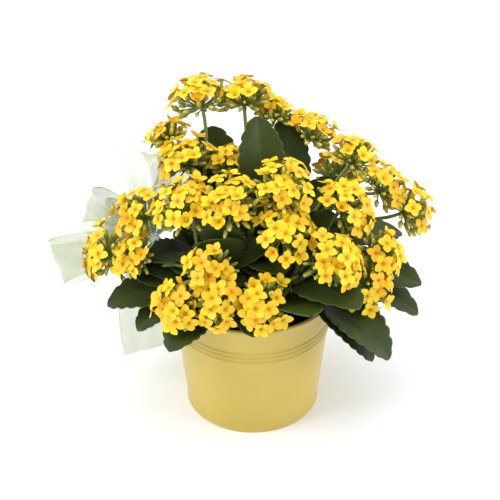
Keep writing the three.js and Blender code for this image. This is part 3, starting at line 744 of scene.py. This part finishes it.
def soil_piece():
    """The plug of potting mix, with an uneven top."""
    skin = Skin()
    angles = circle(96)
    edge = pot_wall(LIP_TOP - SOIL_BELOW_LIP) - GROW_POT_WALL - FIT_GAP
    rings = []
    for share in np.linspace(0.02, 1, 30):
        ring = [(edge * share * math.cos(a), edge * share * math.sin(a)) for a in angles]
        rings.append([(x, y, soil_surface(x, y, share)) for x, y in ring])
    foot = pot_wall(SOIL_FOOT) - GROW_POT_WALL - FIT_GAP
    rings.append([(foot * math.cos(a), foot * math.sin(a), SOIL_FOOT) for a in angles])
    skin.tube(np.array(rings), tints(np.linspace(0, 1, 31), angles * 0), 0)
    return skin.make("potting_mix", [MIX])


stand_for(soil_piece(), "soil")


def crumbs_piece():
    """Loose lumps of mix on the surface."""
    skin = Skin()
    rng = random.Random(11)
    for _ in range(CRUMBS):
        bearing, out = rng.uniform(0, 2 * math.pi), CRUMBS_REACH * math.sqrt(rng.random())
        x, y = out * math.cos(bearing), out * math.sin(bearing)
        size = rng.uniform(0.5, 1.7)
        top = soil_surface(x, y, out / SOIL_RADIUS)
        radii = [0.05, 0.8 * size, size, 0.7 * size, 0.05]
        path = [(x, y, top + size * h) for h in (-0.5, -0.3, 0.1, 0.5, 0.7)]
        add_tube(skin, path, radii, 6, 0)
    return skin.make("mix_crumbs", [MIX])


stand_for(crumbs_piece(), None)

# ---- shoots

SHOOTS = []
for name in [n for n in NODES if n.startswith("shoot_")]:
    points, _ = welded(name)
    # From the ground up, a shoot's points are rings of eight.
    rings = points[np.argsort(points[:, 2])].reshape(-1, 8, 3)
    centres = rings.mean(axis=1)
    collar = rings[-1] - centres[-1]
    normal = unit(np.linalg.svd(collar)[2][2])
    SHOOTS.append({"name": name, "line": centres, "normal": normal * np.sign(normal[2])})

for shoot in SHOOTS:
    skin = Skin()
    line = spline(shoot["line"], np.linspace(0, len(shoot["line"]) - 1, 46))
    share = np.linspace(0, 1, 46)
    scars = np.maximum(0, np.cos(share * 2 * math.pi * SCARS)) ** 8
    radii = SHOOT_RADIUS - SHOOT_TAPER * share + SCAR_RISE * scars
    radii[-len(COLLAR_RADII) :] = COLLAR_RADII
    add_tube(skin, line, radii, 18, 0)
    browned = skin.tints[0].copy()
    browned[:, 3] = np.clip(1.15 - 1.5 * browned[:, 0], 0, 1)
    skin.tints = [browned]
    stand_for(skin.make(shoot["name"] + "_stem", [STEM]), shoot["name"])

# ---- leaves


def leaf_rings(node_name):
    """A CAD leaf's line, sides and faces from its foot to its tip, and its widest half-width."""
    points, neighbours = welded(node_name)
    tip, rings = next(
        (i, found)
        for i in range(len(points))
        for found in [layers(neighbours, {i})]
        if len(found) > 8 and all(len(ring) == 4 for ring in found[1:])
    )
    corners = [points[ring] for ring in rings[:0:-1]]
    line, side, face, half = [], [], [], []
    for ring in corners:
        # A ring's two sides are its corners that lie furthest apart.
        apart = norm(ring[:, None] - ring[None], axis=-1)
        a, b = np.unravel_index(np.argmax(apart), apart.shape)
        c, d = {0, 1, 2, 3} - {a, b}
        line.append((ring[c] + ring[d]) / 2)
        side.append(unit(ring[b] - ring[a]))
        face.append(unit(ring[c] - ring[d]))
        half.append(apart[a, b] / 2)
    widest = int(np.argmax(half))
    if (corners[widest].mean(axis=0) - line[widest]) @ face[widest] < 0:
        face[widest] = -face[widest]
    # From the widest section both ways, each face looks the same way as the one before it.
    for i in range(widest - 1, -1, -1):
        face[i] = face[i] * np.sign(face[i] @ face[i + 1])
    for i in range(widest + 1, len(corners)):
        face[i] = face[i] * np.sign(face[i] @ face[i - 1])
    heading = unit(np.gradient(np.array(line), axis=0))
    side = [s * (1 if np.cross(s, h) @ f > 0 else -1) for s, h, f in zip(side, heading, face)]
    line = np.array([*line, points[tip]])
    return line, np.array([*side, side[-1]]), np.array([*face, face[-1]]), max(half)


def outline(blade, widest):
    """A leaf blade's half-width along it, as in the CAD model."""
    return widest * np.sqrt(np.clip(np.sin(math.pi * np.clip(blade, 0, 1) ** 0.85), 0, 1))


def add_leaf(skin, sections, age, rng, rows=96, teeth=8, petiole=PETIOLE_SHARE):
    """A thick leaf with a scalloped margin, a grooved midrib and a stalk, along the given sections."""
    line, side, face, widest = sections
    run = run_of(line)
    share = 1 - (1 - np.linspace(0, 1, rows)) ** 1.4
    at = np.interp(share, run / run[-1], np.arange(len(line)))
    centre, across_, out = spline(line, at), unit(spline(side, at)), unit(spline(face, at))
    blade = np.clip((share - petiole) / (1 - petiole), 0, 1)
    between = (1 - np.abs(np.sin(math.pi * (teeth * blade + 0.5 * rng.random())))) ** 1.15
    notch = SCALLOP_DEPTH * widest * between
    notch = notch * np.clip(blade / 0.3, 0, 1) * np.clip((1.04 - blade) / 0.12, 0, 1)
    least = PETIOLE_HALF_WIDTH * np.clip((1 - share) / 0.05, 0, 1)
    width = np.maximum(outline(blade, widest) - notch, least)
    v = np.linspace(-1, 1, 15)
    spread = np.sign(v) * (1 - (1 - np.abs(v)) ** 1.25)
    is_blade = np.clip((share - 0.2) / 0.12, 0, 1)
    phase = rng.uniform(0, 6.28)
    trough = TROUGH * np.maximum(0, width - 2.0)
    rise = trough[:, None] * np.abs(spread) ** 1.6
    wavy = (blade * 0.9)[:, None] * np.abs(spread) ** 3 * np.sin(9 * share + phase)[:, None]
    rise = rise + wavy * np.sign(spread)
    thick = (1.35 - 0.55 * share)[:, None] * np.sqrt(np.clip(1 - spread**2, 0, 1)) ** 0.7
    groove = 0.45 * is_blade[:, None] * np.exp(-((spread * width[:, None] / 1.3) ** 2))
    base = centre[:, None] + across_[:, None] * (width[:, None] * spread)[..., None]
    top = base + out[:, None] * (rise + thick - groove)[..., None]
    bottom = base + out[:, None] * (rise - thick)[..., None]
    over = (spread + 1) / 2
    skin.patch(top, tints(share, over, 0.0, age), 0)
    skin.patch(bottom[:, ::-1], tints(share, over[::-1], 1.0, age), 0)


for number, name in enumerate(n for n in NODES if n.startswith("leaf_")):
    rng = random.Random(100 + number)
    skin = Skin()
    add_leaf(skin, leaf_rings(name), rng.uniform(0.0, 0.55), rng)
    # Its two faces are joined round the margin.
    stand_for(weld(skin.make(name + "_blade", [LEAF]), 1e-5, close=True), name)

# Small young leaves that fill the middle of each shoot, wherever there is room for one.
SOLID = obstacle_tree([n for n in NODES if not n.startswith("shoot_") and n != "soil"])
GOLDEN = math.pi * (3 - math.sqrt(5))


def young_leaf(origin, way, length, widest):
    """Sections of a small leaf from a point on a shoot, in the same form as leaf_rings."""
    side = unit(np.cross(way, [0, 0, 1]))
    face = np.cross(side, way)
    share = np.linspace(0, 1, 10)
    line = origin + np.outer(share * length, way) + np.outer(0.4 * length * share * (1 - share), face)
    return line, np.repeat([side], 10, axis=0), np.repeat([face], 10, axis=0), widest


def probes_of(line, side, face, widest):
    """Points over a young leaf that show whether it has room."""
    found = []
    for i in range(2, 10):
        half = float(outline(i / 9, widest))
        for s in (-1, -0.5, 0, 0.5, 1):
            found.append(line[i] + side[i] * half * s + face[i] * half * TROUGH * abs(s))
    return np.array(found)


def young_leaves(shoot, rng, placed, tries, shortest, longest, apart):
    """Young leaves of one shoot that stand clear of everything and of each other."""
    skin = Skin()
    line = shoot["line"]
    found = 0
    for step in range(tries):
        height = rng.uniform(0.30, 0.97)
        origin = spline(line, np.array([height * (len(line) - 1)]))[0]
        bearing = step * GOLDEN
        tilt = rng.uniform(-0.1, 0.9) + 0.4 * max(0.0, height - 0.6)
        level = math.cos(tilt)
        way = np.array([math.cos(bearing) * level, math.sin(bearing) * level, math.sin(tilt)])
        length = rng.uniform(shortest, longest)
        sections = young_leaf(origin + way * 3.4, way, length, length * rng.uniform(0.30, 0.38))
        probes = probes_of(*sections)
        if any(gap(SOLID, p) < LEAF_ROOM for p in probes):
            continue
        if placed and min(clearance(placed, p) for p in probes) < apart:
            continue
        placed.extend(probes)
        add_leaf(skin, sections, rng.uniform(0.1, 0.8), rng, rows=44, teeth=6, petiole=0.12)
        found += 1
    return skin, found


# Each kind's name, tries on each shoot, shortest and longest leaf, and least distance between leaves.
YOUNG_KINDS = (("inner", 240, 46, 66, 3.0), ("young", 160, 24, 44, 3.0), ("late", 300, 34, 60, 2.4))

placed = []
for kind, (kind_name, *reach) in enumerate(YOUNG_KINDS):
    for number, shoot in enumerate(SHOOTS):
        rng = random.Random(300 + len(SHOOTS) * kind + number)
        skin, found = young_leaves(shoot, rng, placed, *reach)
        if found:
            stand_for(skin.make(f"{shoot['name']}_{kind_name}_leaves", [LEAF]), None)

# ---- flowers


def stars(points, neighbours):
    """Each CAD flower's centre, facing, side and radius, from points with eight neighbours in a star."""
    found = []
    for i, around in enumerate(neighbours):
        if len(around) != 8:
            continue
        near = sorted(around, key=lambda k: norm(points[k] - points[i]))
        reach = [norm(points[k] - points[i]) for k in near]
        if reach[3] > 1.04 * reach[0] or reach[7] > 1.04 * reach[4] or reach[4] < 1.5 * reach[3]:
            continue
        tips = points[near[4:]]
        at = tips.mean(axis=0)
        facing, side = unit(at - points[i]), unit(tips[0] - at)
        found.append({"at": at, "facing": facing, "side": side, "radius": reach[4]})
    return found


def heads_of(flowers):
    """Groups flowers by the fork that their stalks leave: the point where their axes meet."""
    least, most = FORK_DEPTH
    for a in flowers:
        meets = []
        for b in flowers:
            if a is b:
                continue
            normal = np.cross(a["facing"], b["facing"])
            if norm(normal) < PARALLEL:
                continue
            system = np.array([a["facing"], -b["facing"], unit(normal)]).T
            s, t, miss = np.linalg.solve(system, b["at"] - a["at"])
            if abs(miss) < FORK_MISS and all(least < -depth < most for depth in (s, t)):
                meets.append(a["at"] + a["facing"] * s)
        if meets:
            meets = np.array(meets)
            close = [(norm(meets - m, axis=1) < SAME_FORK).sum() for m in meets]
            best = meets[int(np.argmax(close))]
            a["fork"] = meets[norm(meets - best, axis=1) < SAME_FORK].mean(axis=0)
    heads = []
    for flower in flowers:
        fork = flower.setdefault("fork", flower["at"] - flower["facing"] * STALK_TO_FORK)
        for head in heads:
            if norm(head["fork"] - fork) < 1.0:
                head["flowers"].append(flower)
                break
        else:
            heads.append({"fork": fork, "axis": unit(fork - MIDDLE), "flowers": [flower]})
    return heads


def petal(skin, flower, angle, open_, rng, warmth):
    """One ovate, pointed petal with a shallow fold, from the throat outwards."""
    rows, columns = 7, 5
    t = np.linspace(0, 1, rows)
    v = np.linspace(-1, 1, columns)
    size = flower["radius"] / USUAL_RADIUS
    length = (flower["radius"] - 0.9) * rng.uniform(0.93, 1.03)
    lift = (1 - open_) * 1.2 + rng.uniform(-0.10, 0.14)
    bend = rng.uniform(-0.32, 0.10)
    slope = lift + bend * t
    out = 0.75 + np.concatenate([[0], np.cumsum(np.cos(slope[1:]) * length / (rows - 1))])
    height = -0.5 + np.concatenate([[0], np.cumsum(np.sin(slope[1:]) * length / (rows - 1))])
    half = PETAL_HALF_WIDTH * size * np.sin(math.pi * (0.09 + 0.91 * t) ** 1.02) ** 0.66
    half[-1] = 0.25 * size
    twist = rng.uniform(-0.22, 0.22)
    fold = rng.uniform(-0.05, 0.16)
    sideways = half[:, None] * v
    bent = fold * np.abs(v) ** 2 * half[:, None]
    height = height[:, None] + bent + twist * sideways * t[:, None]
    facing = flower["facing"]
    forward = turned(flower["side"], facing, angle)
    beside = np.cross(facing, forward)
    grid = flower["at"] - facing * 0.2 + forward * out[:, None, None]
    grid = grid + beside * sideways[..., None] + facing * height[..., None]
    skin.patch(grid, tints(t, (v + 1) / 2, 0.0, warmth), 0)


def small_blade(skin, foot, way, face, length, width, curl, ripe=0.0):
    """A narrow pointed leaflet: a sepal or a bract."""
    t = np.linspace(0, 1, 6)
    v = np.array([-1.0, 0.0, 1.0])
    half = width / 2 * np.sin(math.pi * (0.18 + 0.82 * t)) ** 0.8
    half[-1] = 0.05
    beside = unit(np.cross(way, face))
    rise = curl * length * t**2
    grid = foot + way * (t * length)[:, None, None] + beside * (half[:, None] * v)[..., None]
    grid = grid + face * (rise[:, None] + 0.18 * half[:, None] * np.abs(v))[..., None]
    skin.patch(grid, tints(t, (v + 1) / 2, ripe), 1)


def pedicel(skin, fork, neck, sag):
    """A flower's own thin stalk, bowed a little."""
    t = np.linspace(0, 1, 6)[:, None]
    path = fork + (neck - fork) * t + np.asarray(sag) * (t * (1 - t) * 4)
    add_tube(skin, path, np.linspace(0.62, 0.55, 6), 5, 1, closed=False)


def any_way(rng):
    """A random vector, up to 1 along each axis."""
    return [rng.uniform(-1, 1), rng.uniform(-1, 1), rng.uniform(-1, 1)]


def add_flower(skin, flower, rng, open_):
    """A four-petalled flower: petals, tube, sepals, throat, anthers and stalk."""
    at, facing, side = flower["at"], flower["facing"], flower["side"]
    warmth = rng.uniform(0.0, 1.0) ** 1.6
    for k in range(4):
        petal(skin, flower, k * math.pi / 2, open_, rng, warmth)
    # The tube swells over the sepals and narrows to the throat.
    heights = np.array([-9.0, -8.2, -6.6, -4.6, -2.6, -1.2, -0.45])
    radii = np.array([0.9, 1.45, 1.65, 1.45, 1.15, 1.05, 1.25])
    add_tube(skin, at + np.outer(heights, facing), radii, 8, 1, third=0.9, closed=False)
    ring = wheel(circle(8), side, np.cross(facing, side))
    funnel = ((0.45, 1.3), (0.95, 0.8), (1.5, 0.15))  # depths and radii
    throat = np.array([at - facing * depth + ring * radius for depth, radius in funnel])
    skin.tube(throat, tints([0.08, 0.02, 0.0], np.zeros(8), 0.0, 1.0), 0, closed=False)
    add_tube(skin, at + np.outer([-1.2, -0.3, 0.1], facing), [0.2, 0.45, 0.1], 5, 0, copy=1.0)
    for k in range(4):
        way = turned(side, facing, (k + 0.5) * math.pi / 2)
        foot = at - facing * 8.7 + way * 1.0
        small_blade(skin, foot, unit(facing + way * 0.32), way, 4.6, 1.7, 0.10, 0.15)
    sag = np.cross(facing, any_way(rng)) * 0.5
    pedicel(skin, flower["fork"], at - facing * 8.9, sag)


def add_bud(skin, fork, way, reach, size, ripe, rng):
    """A closed bud: a slim pointed body in its sepals, on its own stalk."""
    side, other = across(way)
    side = turned(side, way, rng.uniform(0, 3))
    foot = fork + way * (reach - 7.5 * size)
    heights = np.array([0, 0.5, 1.6, 3.0, 4.6, 6.0, 7.0, 7.5]) * size
    radii = np.array([0.7, 1.15, 1.45, 1.5, 1.35, 1.3, 0.8, 0.08]) * size
    add_tube(skin, foot + np.outer(heights, way), radii, 8, 1, third=ripe)
    for k in range(4):
        out = turned(side, way, k * math.pi / 2)
        sepal_foot, sepal_way = foot + out * 0.8 * size, unit(way + out * 0.3)
        small_blade(skin, sepal_foot, sepal_way, out, 3.4 * size, 1.5 * size, 0.05, 0.05)
    pedicel(skin, fork, foot + way * 0.3, np.cross(way, other) * 0.4)


SOLID_LEAVES = obstacle_tree([n for n in NODES if not n.startswith(("shoot_", "flower_"))])
STEMS = {}
for name in [n for n in NODES if n.startswith("flower_stem")]:
    points, neighbours = welded(name)
    STEMS[name] = (points, heads_of(stars(points, neighbours)))
CENTRES = [f["at"] for _, heads in STEMS.values() for head in heads for f in head["flowers"]]


def roomy(point, distance):
    """True where a flower centre would be clear of leaves, ribbon and the other flowers."""
    if gap(SOLID_LEAVES, point) < 5.0 or clearance(placed, point) < 6.0:
        return False
    return clearance(CENTRES, point) > distance


def loosened(flower, axis, rng):
    """A flower moved and tilted a little, as far as the leaves beside it leave room.

    The head becomes flatter than its CAD dome, and its flowers turn towards the light."""
    fork = flower["fork"]
    way = unit(unit(flower["at"] - fork) + 0.20 * axis)
    flat = 0.94 + 0.16 * (1 - way @ axis) + rng.uniform(-0.08, 0.04)
    at = fork + way * norm(flower["at"] - fork) * min(flat, 1.06)
    lean = 0.30 * axis + np.array([0, 0, 0.22]) + 0.30 * np.array(any_way(rng))
    for tilt in (1.0, 0.5, 0.0):
        facing = unit(way + tilt * lean)
        side = unit(flower["side"] - facing * (flower["side"] @ facing))
        tips = [at + turned(side, facing, k * math.pi / 2) * flower["radius"] for k in range(4)]
        if all(gap(SOLID_LEAVES, tip) > 0.7 for tip in tips):
            break
    radius = flower["radius"] * rng.uniform(0.84, 0.97)
    return {"at": at, "facing": facing, "side": side, "radius": radius, "fork": fork}


def fill_head(skin, head, rng):
    """More flowers and buds for a head, in the room that its CAD flowers leave."""
    fork, axis, flowers = head["fork"], head["axis"], head["flowers"]
    taken = [unit(f["at"] - fork) for f in flowers]
    mean_reach = float(np.mean([norm(f["at"] - fork) for f in flowers]))

    def sites(count, widest_lean, start):
        """Directions spread evenly over the head, each with its angle to the nearest one taken."""
        side, _ = across(axis)
        for site in range(count):
            lean = widest_lean * math.sqrt((site + 0.5) / count)
            way = turned(turned(axis, side, lean), axis, site * GOLDEN + start)
            yield way, math.acos(np.clip(max(np.dot(way, t) for t in taken), -1, 1))

    for way, nearest in sites(HEAD_SITES, HEAD_LEAN, 1.0):
        at = fork + way * mean_reach * rng.uniform(0.84, 1.0)
        if nearest * mean_reach < FLOWER_ROOM or not roomy(at, OTHER_ROOM):
            continue
        side = turned(across(way)[0], way, rng.uniform(0, 6))
        flower = {"at": at, "side": side, "fork": fork, "radius": flowers[0]["radius"]}
        add_flower(skin, loosened(flower, axis, rng), rng, rng.choice([1.0, 0.9, 0.7, 0.35]))
        taken.append(way)
        CENTRES.append(at)
    for way, nearest in sites(BUD_SITES, BUD_LEAN, 2.2):
        reach = mean_reach * rng.uniform(0.72, 1.02)
        room = min(gap(SOLID_LEAVES, fork + way * reach * part) for part in (0.7, 1.0))
        if nearest < BUD_SPREAD or room < 3.0 or clearance(placed, fork + way * reach) < 4.0:
            continue
        add_bud(skin, fork, way, reach, rng.uniform(0.75, 1.15), rng.uniform(0.3, 1.0), rng)
        taken.append(way)


def stalk(base, leaving, fork, arriving, count=26):
    """Points along a stalk that starts along one direction and ends along another."""
    length = norm(fork - base)
    return bezier(base, base + leaving * length * 0.35, fork - arriving * length * 0.35, fork, count)


def bract_pair(skin, path, place, length, rng):
    """Two small leaves that face each other on a stalk."""
    i = int(place * (len(path) - 1))
    way = unit(path[min(i + 1, len(path) - 1)] - path[i - 1])
    side, _ = across(way)
    side = turned(side, way, rng.uniform(0, 6))
    for sign in (1, -1):
        out = side * sign
        blade_way, face = unit(way * 0.75 + out), unit(way - out * 0.6)
        small_blade(skin, path[i] + out * 1.1, blade_way, face, length, length * 0.26, -0.12)


for number, (name, (points, heads)) in enumerate(STEMS.items()):
    rng = random.Random(500 + number)
    skin = Skin()
    shoot = min(SHOOTS, key=lambda s: norm(points - s["line"][-1], axis=1).min())
    top, growing = shoot["line"][-1], shoot["normal"]
    over = (points - top) @ growing
    beside = norm(points - top - np.outer(over, growing), axis=1)
    footing = points[(over < over[beside < 9].min() + 0.05) & (beside < 9)]
    base = footing.mean(axis=0) - growing * 0.3

    def misfit(head):
        """How far the CAD stalk's rings are from a stalk that leads to this head."""
        path = stalk(base, growing, head["fork"], head["axis"], 11)
        return sum(np.sort(norm(points - path[i], axis=1))[:6].mean() for i in (2, 4))

    heads.sort(key=misfit)
    trunk = stalk(base, growing, heads[0]["fork"], heads[0]["axis"])
    share = np.linspace(0, 1, len(trunk))
    swell = 0.35 * np.exp(-(((share - FORK_SHARE) / 0.04) ** 2)) if len(heads) > 1 else 0
    add_tube(skin, trunk, STALK_RADIUS - 0.45 * share + swell, 12, 2)
    bract_pair(skin, trunk, 0.38, rng.uniform(9, 13), rng)
    for head in heads[1:]:
        joint = FORK_SHARE * (len(trunk) - 1)
        fork_at = spline(trunk, np.array([joint]))[0]
        heading = unit(spline(trunk, np.array([joint + 0.2]))[0] - fork_at)
        branch = stalk(fork_at, heading, head["fork"], head["axis"])
        add_tube(skin, branch, np.linspace(BRANCH_RADIUS, BRANCH_RADIUS - 0.15, len(branch)), 10, 2)
        bract_pair(skin, trunk, FORK_SHARE, rng.uniform(8, 12), rng)
    for head in heads:
        for flower in head["flowers"]:
            openness = rng.choice([1.0, 1.0, 1.0, 0.9, 0.8, 0.6])
            add_flower(skin, loosened(flower, head["axis"], rng), rng, openness)
        fill_head(skin, head, rng)
        node_line = head["fork"] + np.outer([-1.8, -1.0, 0, 1.0, 1.6], growing)
        add_tube(skin, node_line, [0.9, 1.6, 1.9, 1.5, 0.6], 8, 2)
    stand_for(skin.make(name + "_blooms", [PETAL, BUD, STEM]), name)

# ---- ribbon bow


def ribbon_edges(node_name):
    """A CAD ribbon's two edges, from one end to the other."""
    points, neighbours = welded(node_name)
    # The ribbon is thin, so a point's nearest neighbour is the one through its thickness.
    pairs = set()
    for i, around in enumerate(neighbours):
        partner = min(around, key=lambda k: norm(points[k] - points[i]))
        pairs.add((min(i, partner), max(i, partner)))
    pairs = sorted(pairs)
    middle = np.array([(points[a] + points[b]) / 2 for a, b in pairs])
    owner = {i: k for k, pair in enumerate(pairs) for i in pair}
    net = [set() for _ in pairs]
    for i, around in enumerate(neighbours):
        net[owner[i]] |= {owner[k] for k in around} - {owner[i]}
    ladder = next(
        found
        for a in range(len(pairs))
        for b in sorted(net[a])
        for found in [layers(net, {a, b})]
        if all(len(step) == 2 for step in found)
    )
    left, right = [middle[ladder[0][0]]], [middle[ladder[0][1]]]
    for a, b in ladder[1:]:
        straight = norm(middle[a] - left[-1]) + norm(middle[b] - right[-1])
        crossed = norm(middle[b] - left[-1]) + norm(middle[a] - right[-1])
        if crossed < straight:
            a, b = b, a
        left.append(middle[a])
        right.append(middle[b])
    return np.array(left), np.array(right)


def ribbon_piece(name, seed):
    """A sheer ribbon along a CAD solid, with soft pleats that run out from the knot, and its length."""
    left, right = ribbon_edges(name)
    if norm(left[0] - right[0]) > norm(left[-1] - right[-1]) * 1.5:
        left, right = left[::-1], right[::-1]
    at = np.linspace(0, len(left) - 1, 72)
    left, right = spline(left, at), spline(right, at)
    centre = (left + right) / 2
    face = unit(np.cross(unit(np.gradient(centre, axis=0)), unit(right - left)))
    # full is 0 where the ribbon is gathered to nothing and 1 where it has its whole width.
    full = np.clip(norm(right - left, axis=1) / RIBBON_WIDTH, 0, 1)[:, None]
    phase = random.Random(seed).uniform(0, 6)
    v = np.linspace(-1, 1, 25)
    depth = 0.35 + PLEAT_DEPTH * np.sin(math.pi * full) ** 1.2
    pleats = np.sin(v * PLEAT_TURN + phase + 1.2 * full)
    ripple = RIPPLE * np.sin(at[:, None] * 1.1 + 2.5 * v + phase)
    wave = depth * pleats * (0.55 + 0.45 * np.cos(v * math.pi / 2)) + ripple * full
    grid = centre[:, None] + (right - left)[:, None] / 2 * v[:, None] + face[:, None] * wave[..., None]
    skin = Skin()
    run = run_of(centre)
    skin.patch(grid, tints(run / 300, (v + 1) / 2), 0)
    piece = skin.make(name + "_organza", [ORGANZA])
    stand_for(piece, name)
    return piece, run[-1]


for number, name in enumerate(n for n in NODES if n.startswith(("bow_loop", "bow_tail"))):
    piece, length = ribbon_piece(name, 40 + number)


def knot_piece():
    """The tie: a short length of ribbon wound round the gathers, creased across."""
    low, high = box_of("bow_knot")
    middle, radius = (low + high) / 2, (high[0] - low[0]) / 2
    facing = unit(np.array([-0.42, -0.72, 0.55]))
    side, other = across(facing)
    u, v = circle(40), np.linspace(-1, 1, 13)
    grid = []
    for place in v:
        belly = radius * (0.80 + 0.14 * math.cos(place * 1.5)) + 0.22 * math.cos(place * 9)
        creased = belly + 0.2 * np.sin(3 * u + 5 * place)
        grid.append(middle + side * (place * radius * 0.95) + creased[:, None] * wheel(u, other, facing))
    skin = Skin()
    skin.tube(np.array(grid), tints(v / 2 + 0.5, u / 7), 0)
    return skin.make("bow_tie", [ORGANZA])


stand_for(knot_piece(), "bow_knot")


def pick_piece():
    """The stick that holds the bow, a little uneven and blunt at its ends."""
    points, _ = welded("bow_pick")
    order = np.argsort(points[:, 2])
    foot, top = points[order[:6]].mean(axis=0), points[order[6:]].mean(axis=0)
    share = np.concatenate([[0, 0.005], np.linspace(0.02, 0.98, 14), [0.995, 1]])
    radii = PICK_RADIUS + 0.05 * np.sin(share * 21)
    radii[[0, -1]] = 0.9
    skin = Skin()
    add_tube(skin, foot + np.outer(share, top - foot), radii, 14, 0)
    return skin.make("pick_stick", [WOOD])


stand_for(pick_piece(), "bow_pick")

# ---- floor, light and camera


def floor_material():
    """Plain pale floor, very slightly uneven."""
    material, tree, shader = new_material("floor", Roughness=0.6, Specular_IOR_Level=0.25)
    colour = mottled(tree, noise(tree, 1.5), (0.935, 0.955, 0.99), (0.95, 0.97, 1.0))
    vary(tree, shader, colour)
    return material


floor_mesh = bpy.data.meshes.new("floor")
floor_mesh.from_pydata([(-5, -5, 0), (5, -5, 0), (5, 5, 0), (-5, 5, 0)], [], [(0, 1, 2, 3)])
floor_mesh.materials.append(floor_material())
placed_object("floor", floor_mesh)


def softbox(name, place, target, size, watts):
    """A square area light that looks at target. Its places and size are in metres."""
    light = bpy.data.lights.new(name, "AREA")
    light.energy = watts
    light.size = size
    lamp = placed_object(name, light)
    lamp.location = place
    lamp.rotation_euler = (Vector(target) - Vector(place)).to_track_quat("-Z", "Y").to_euler()


softbox("key", (-1.00, -0.35, 0.95), (0, 0, 0.10), 0.7, 10.0)
softbox("fill", (1.10, -0.20, 0.55), (0, 0, 0.08), 0.8, 6.0)
softbox("top", (0.1, 0.35, 1.4), (0, 0, 0.12), 1.0, 6.0)

scene = bpy.context.scene
world = bpy.data.worlds.new("studio")
world.use_nodes = True
world.node_tree.nodes["Background"].inputs["Color"].default_value = (1.0, 1.0, 1.0, 1.0)
world.node_tree.nodes["Background"].inputs["Strength"].default_value = 0.85
scene.world = world
scene.view_settings.view_transform = "Standard"

CAMERA_PLACE = (-0.0019, -0.6012, 0.4991)  # metres
CAMERA_PITCH = 31.8  # degrees below level

lens = bpy.data.cameras.new("camera")
lens.sensor_width = 36.0
lens.lens = 72.0
camera = placed_object("camera", lens)
camera.location = CAMERA_PLACE
camera.rotation_euler = (math.radians(90 - CAMERA_PITCH), 0.0, 0.0)
scene.camera = camera
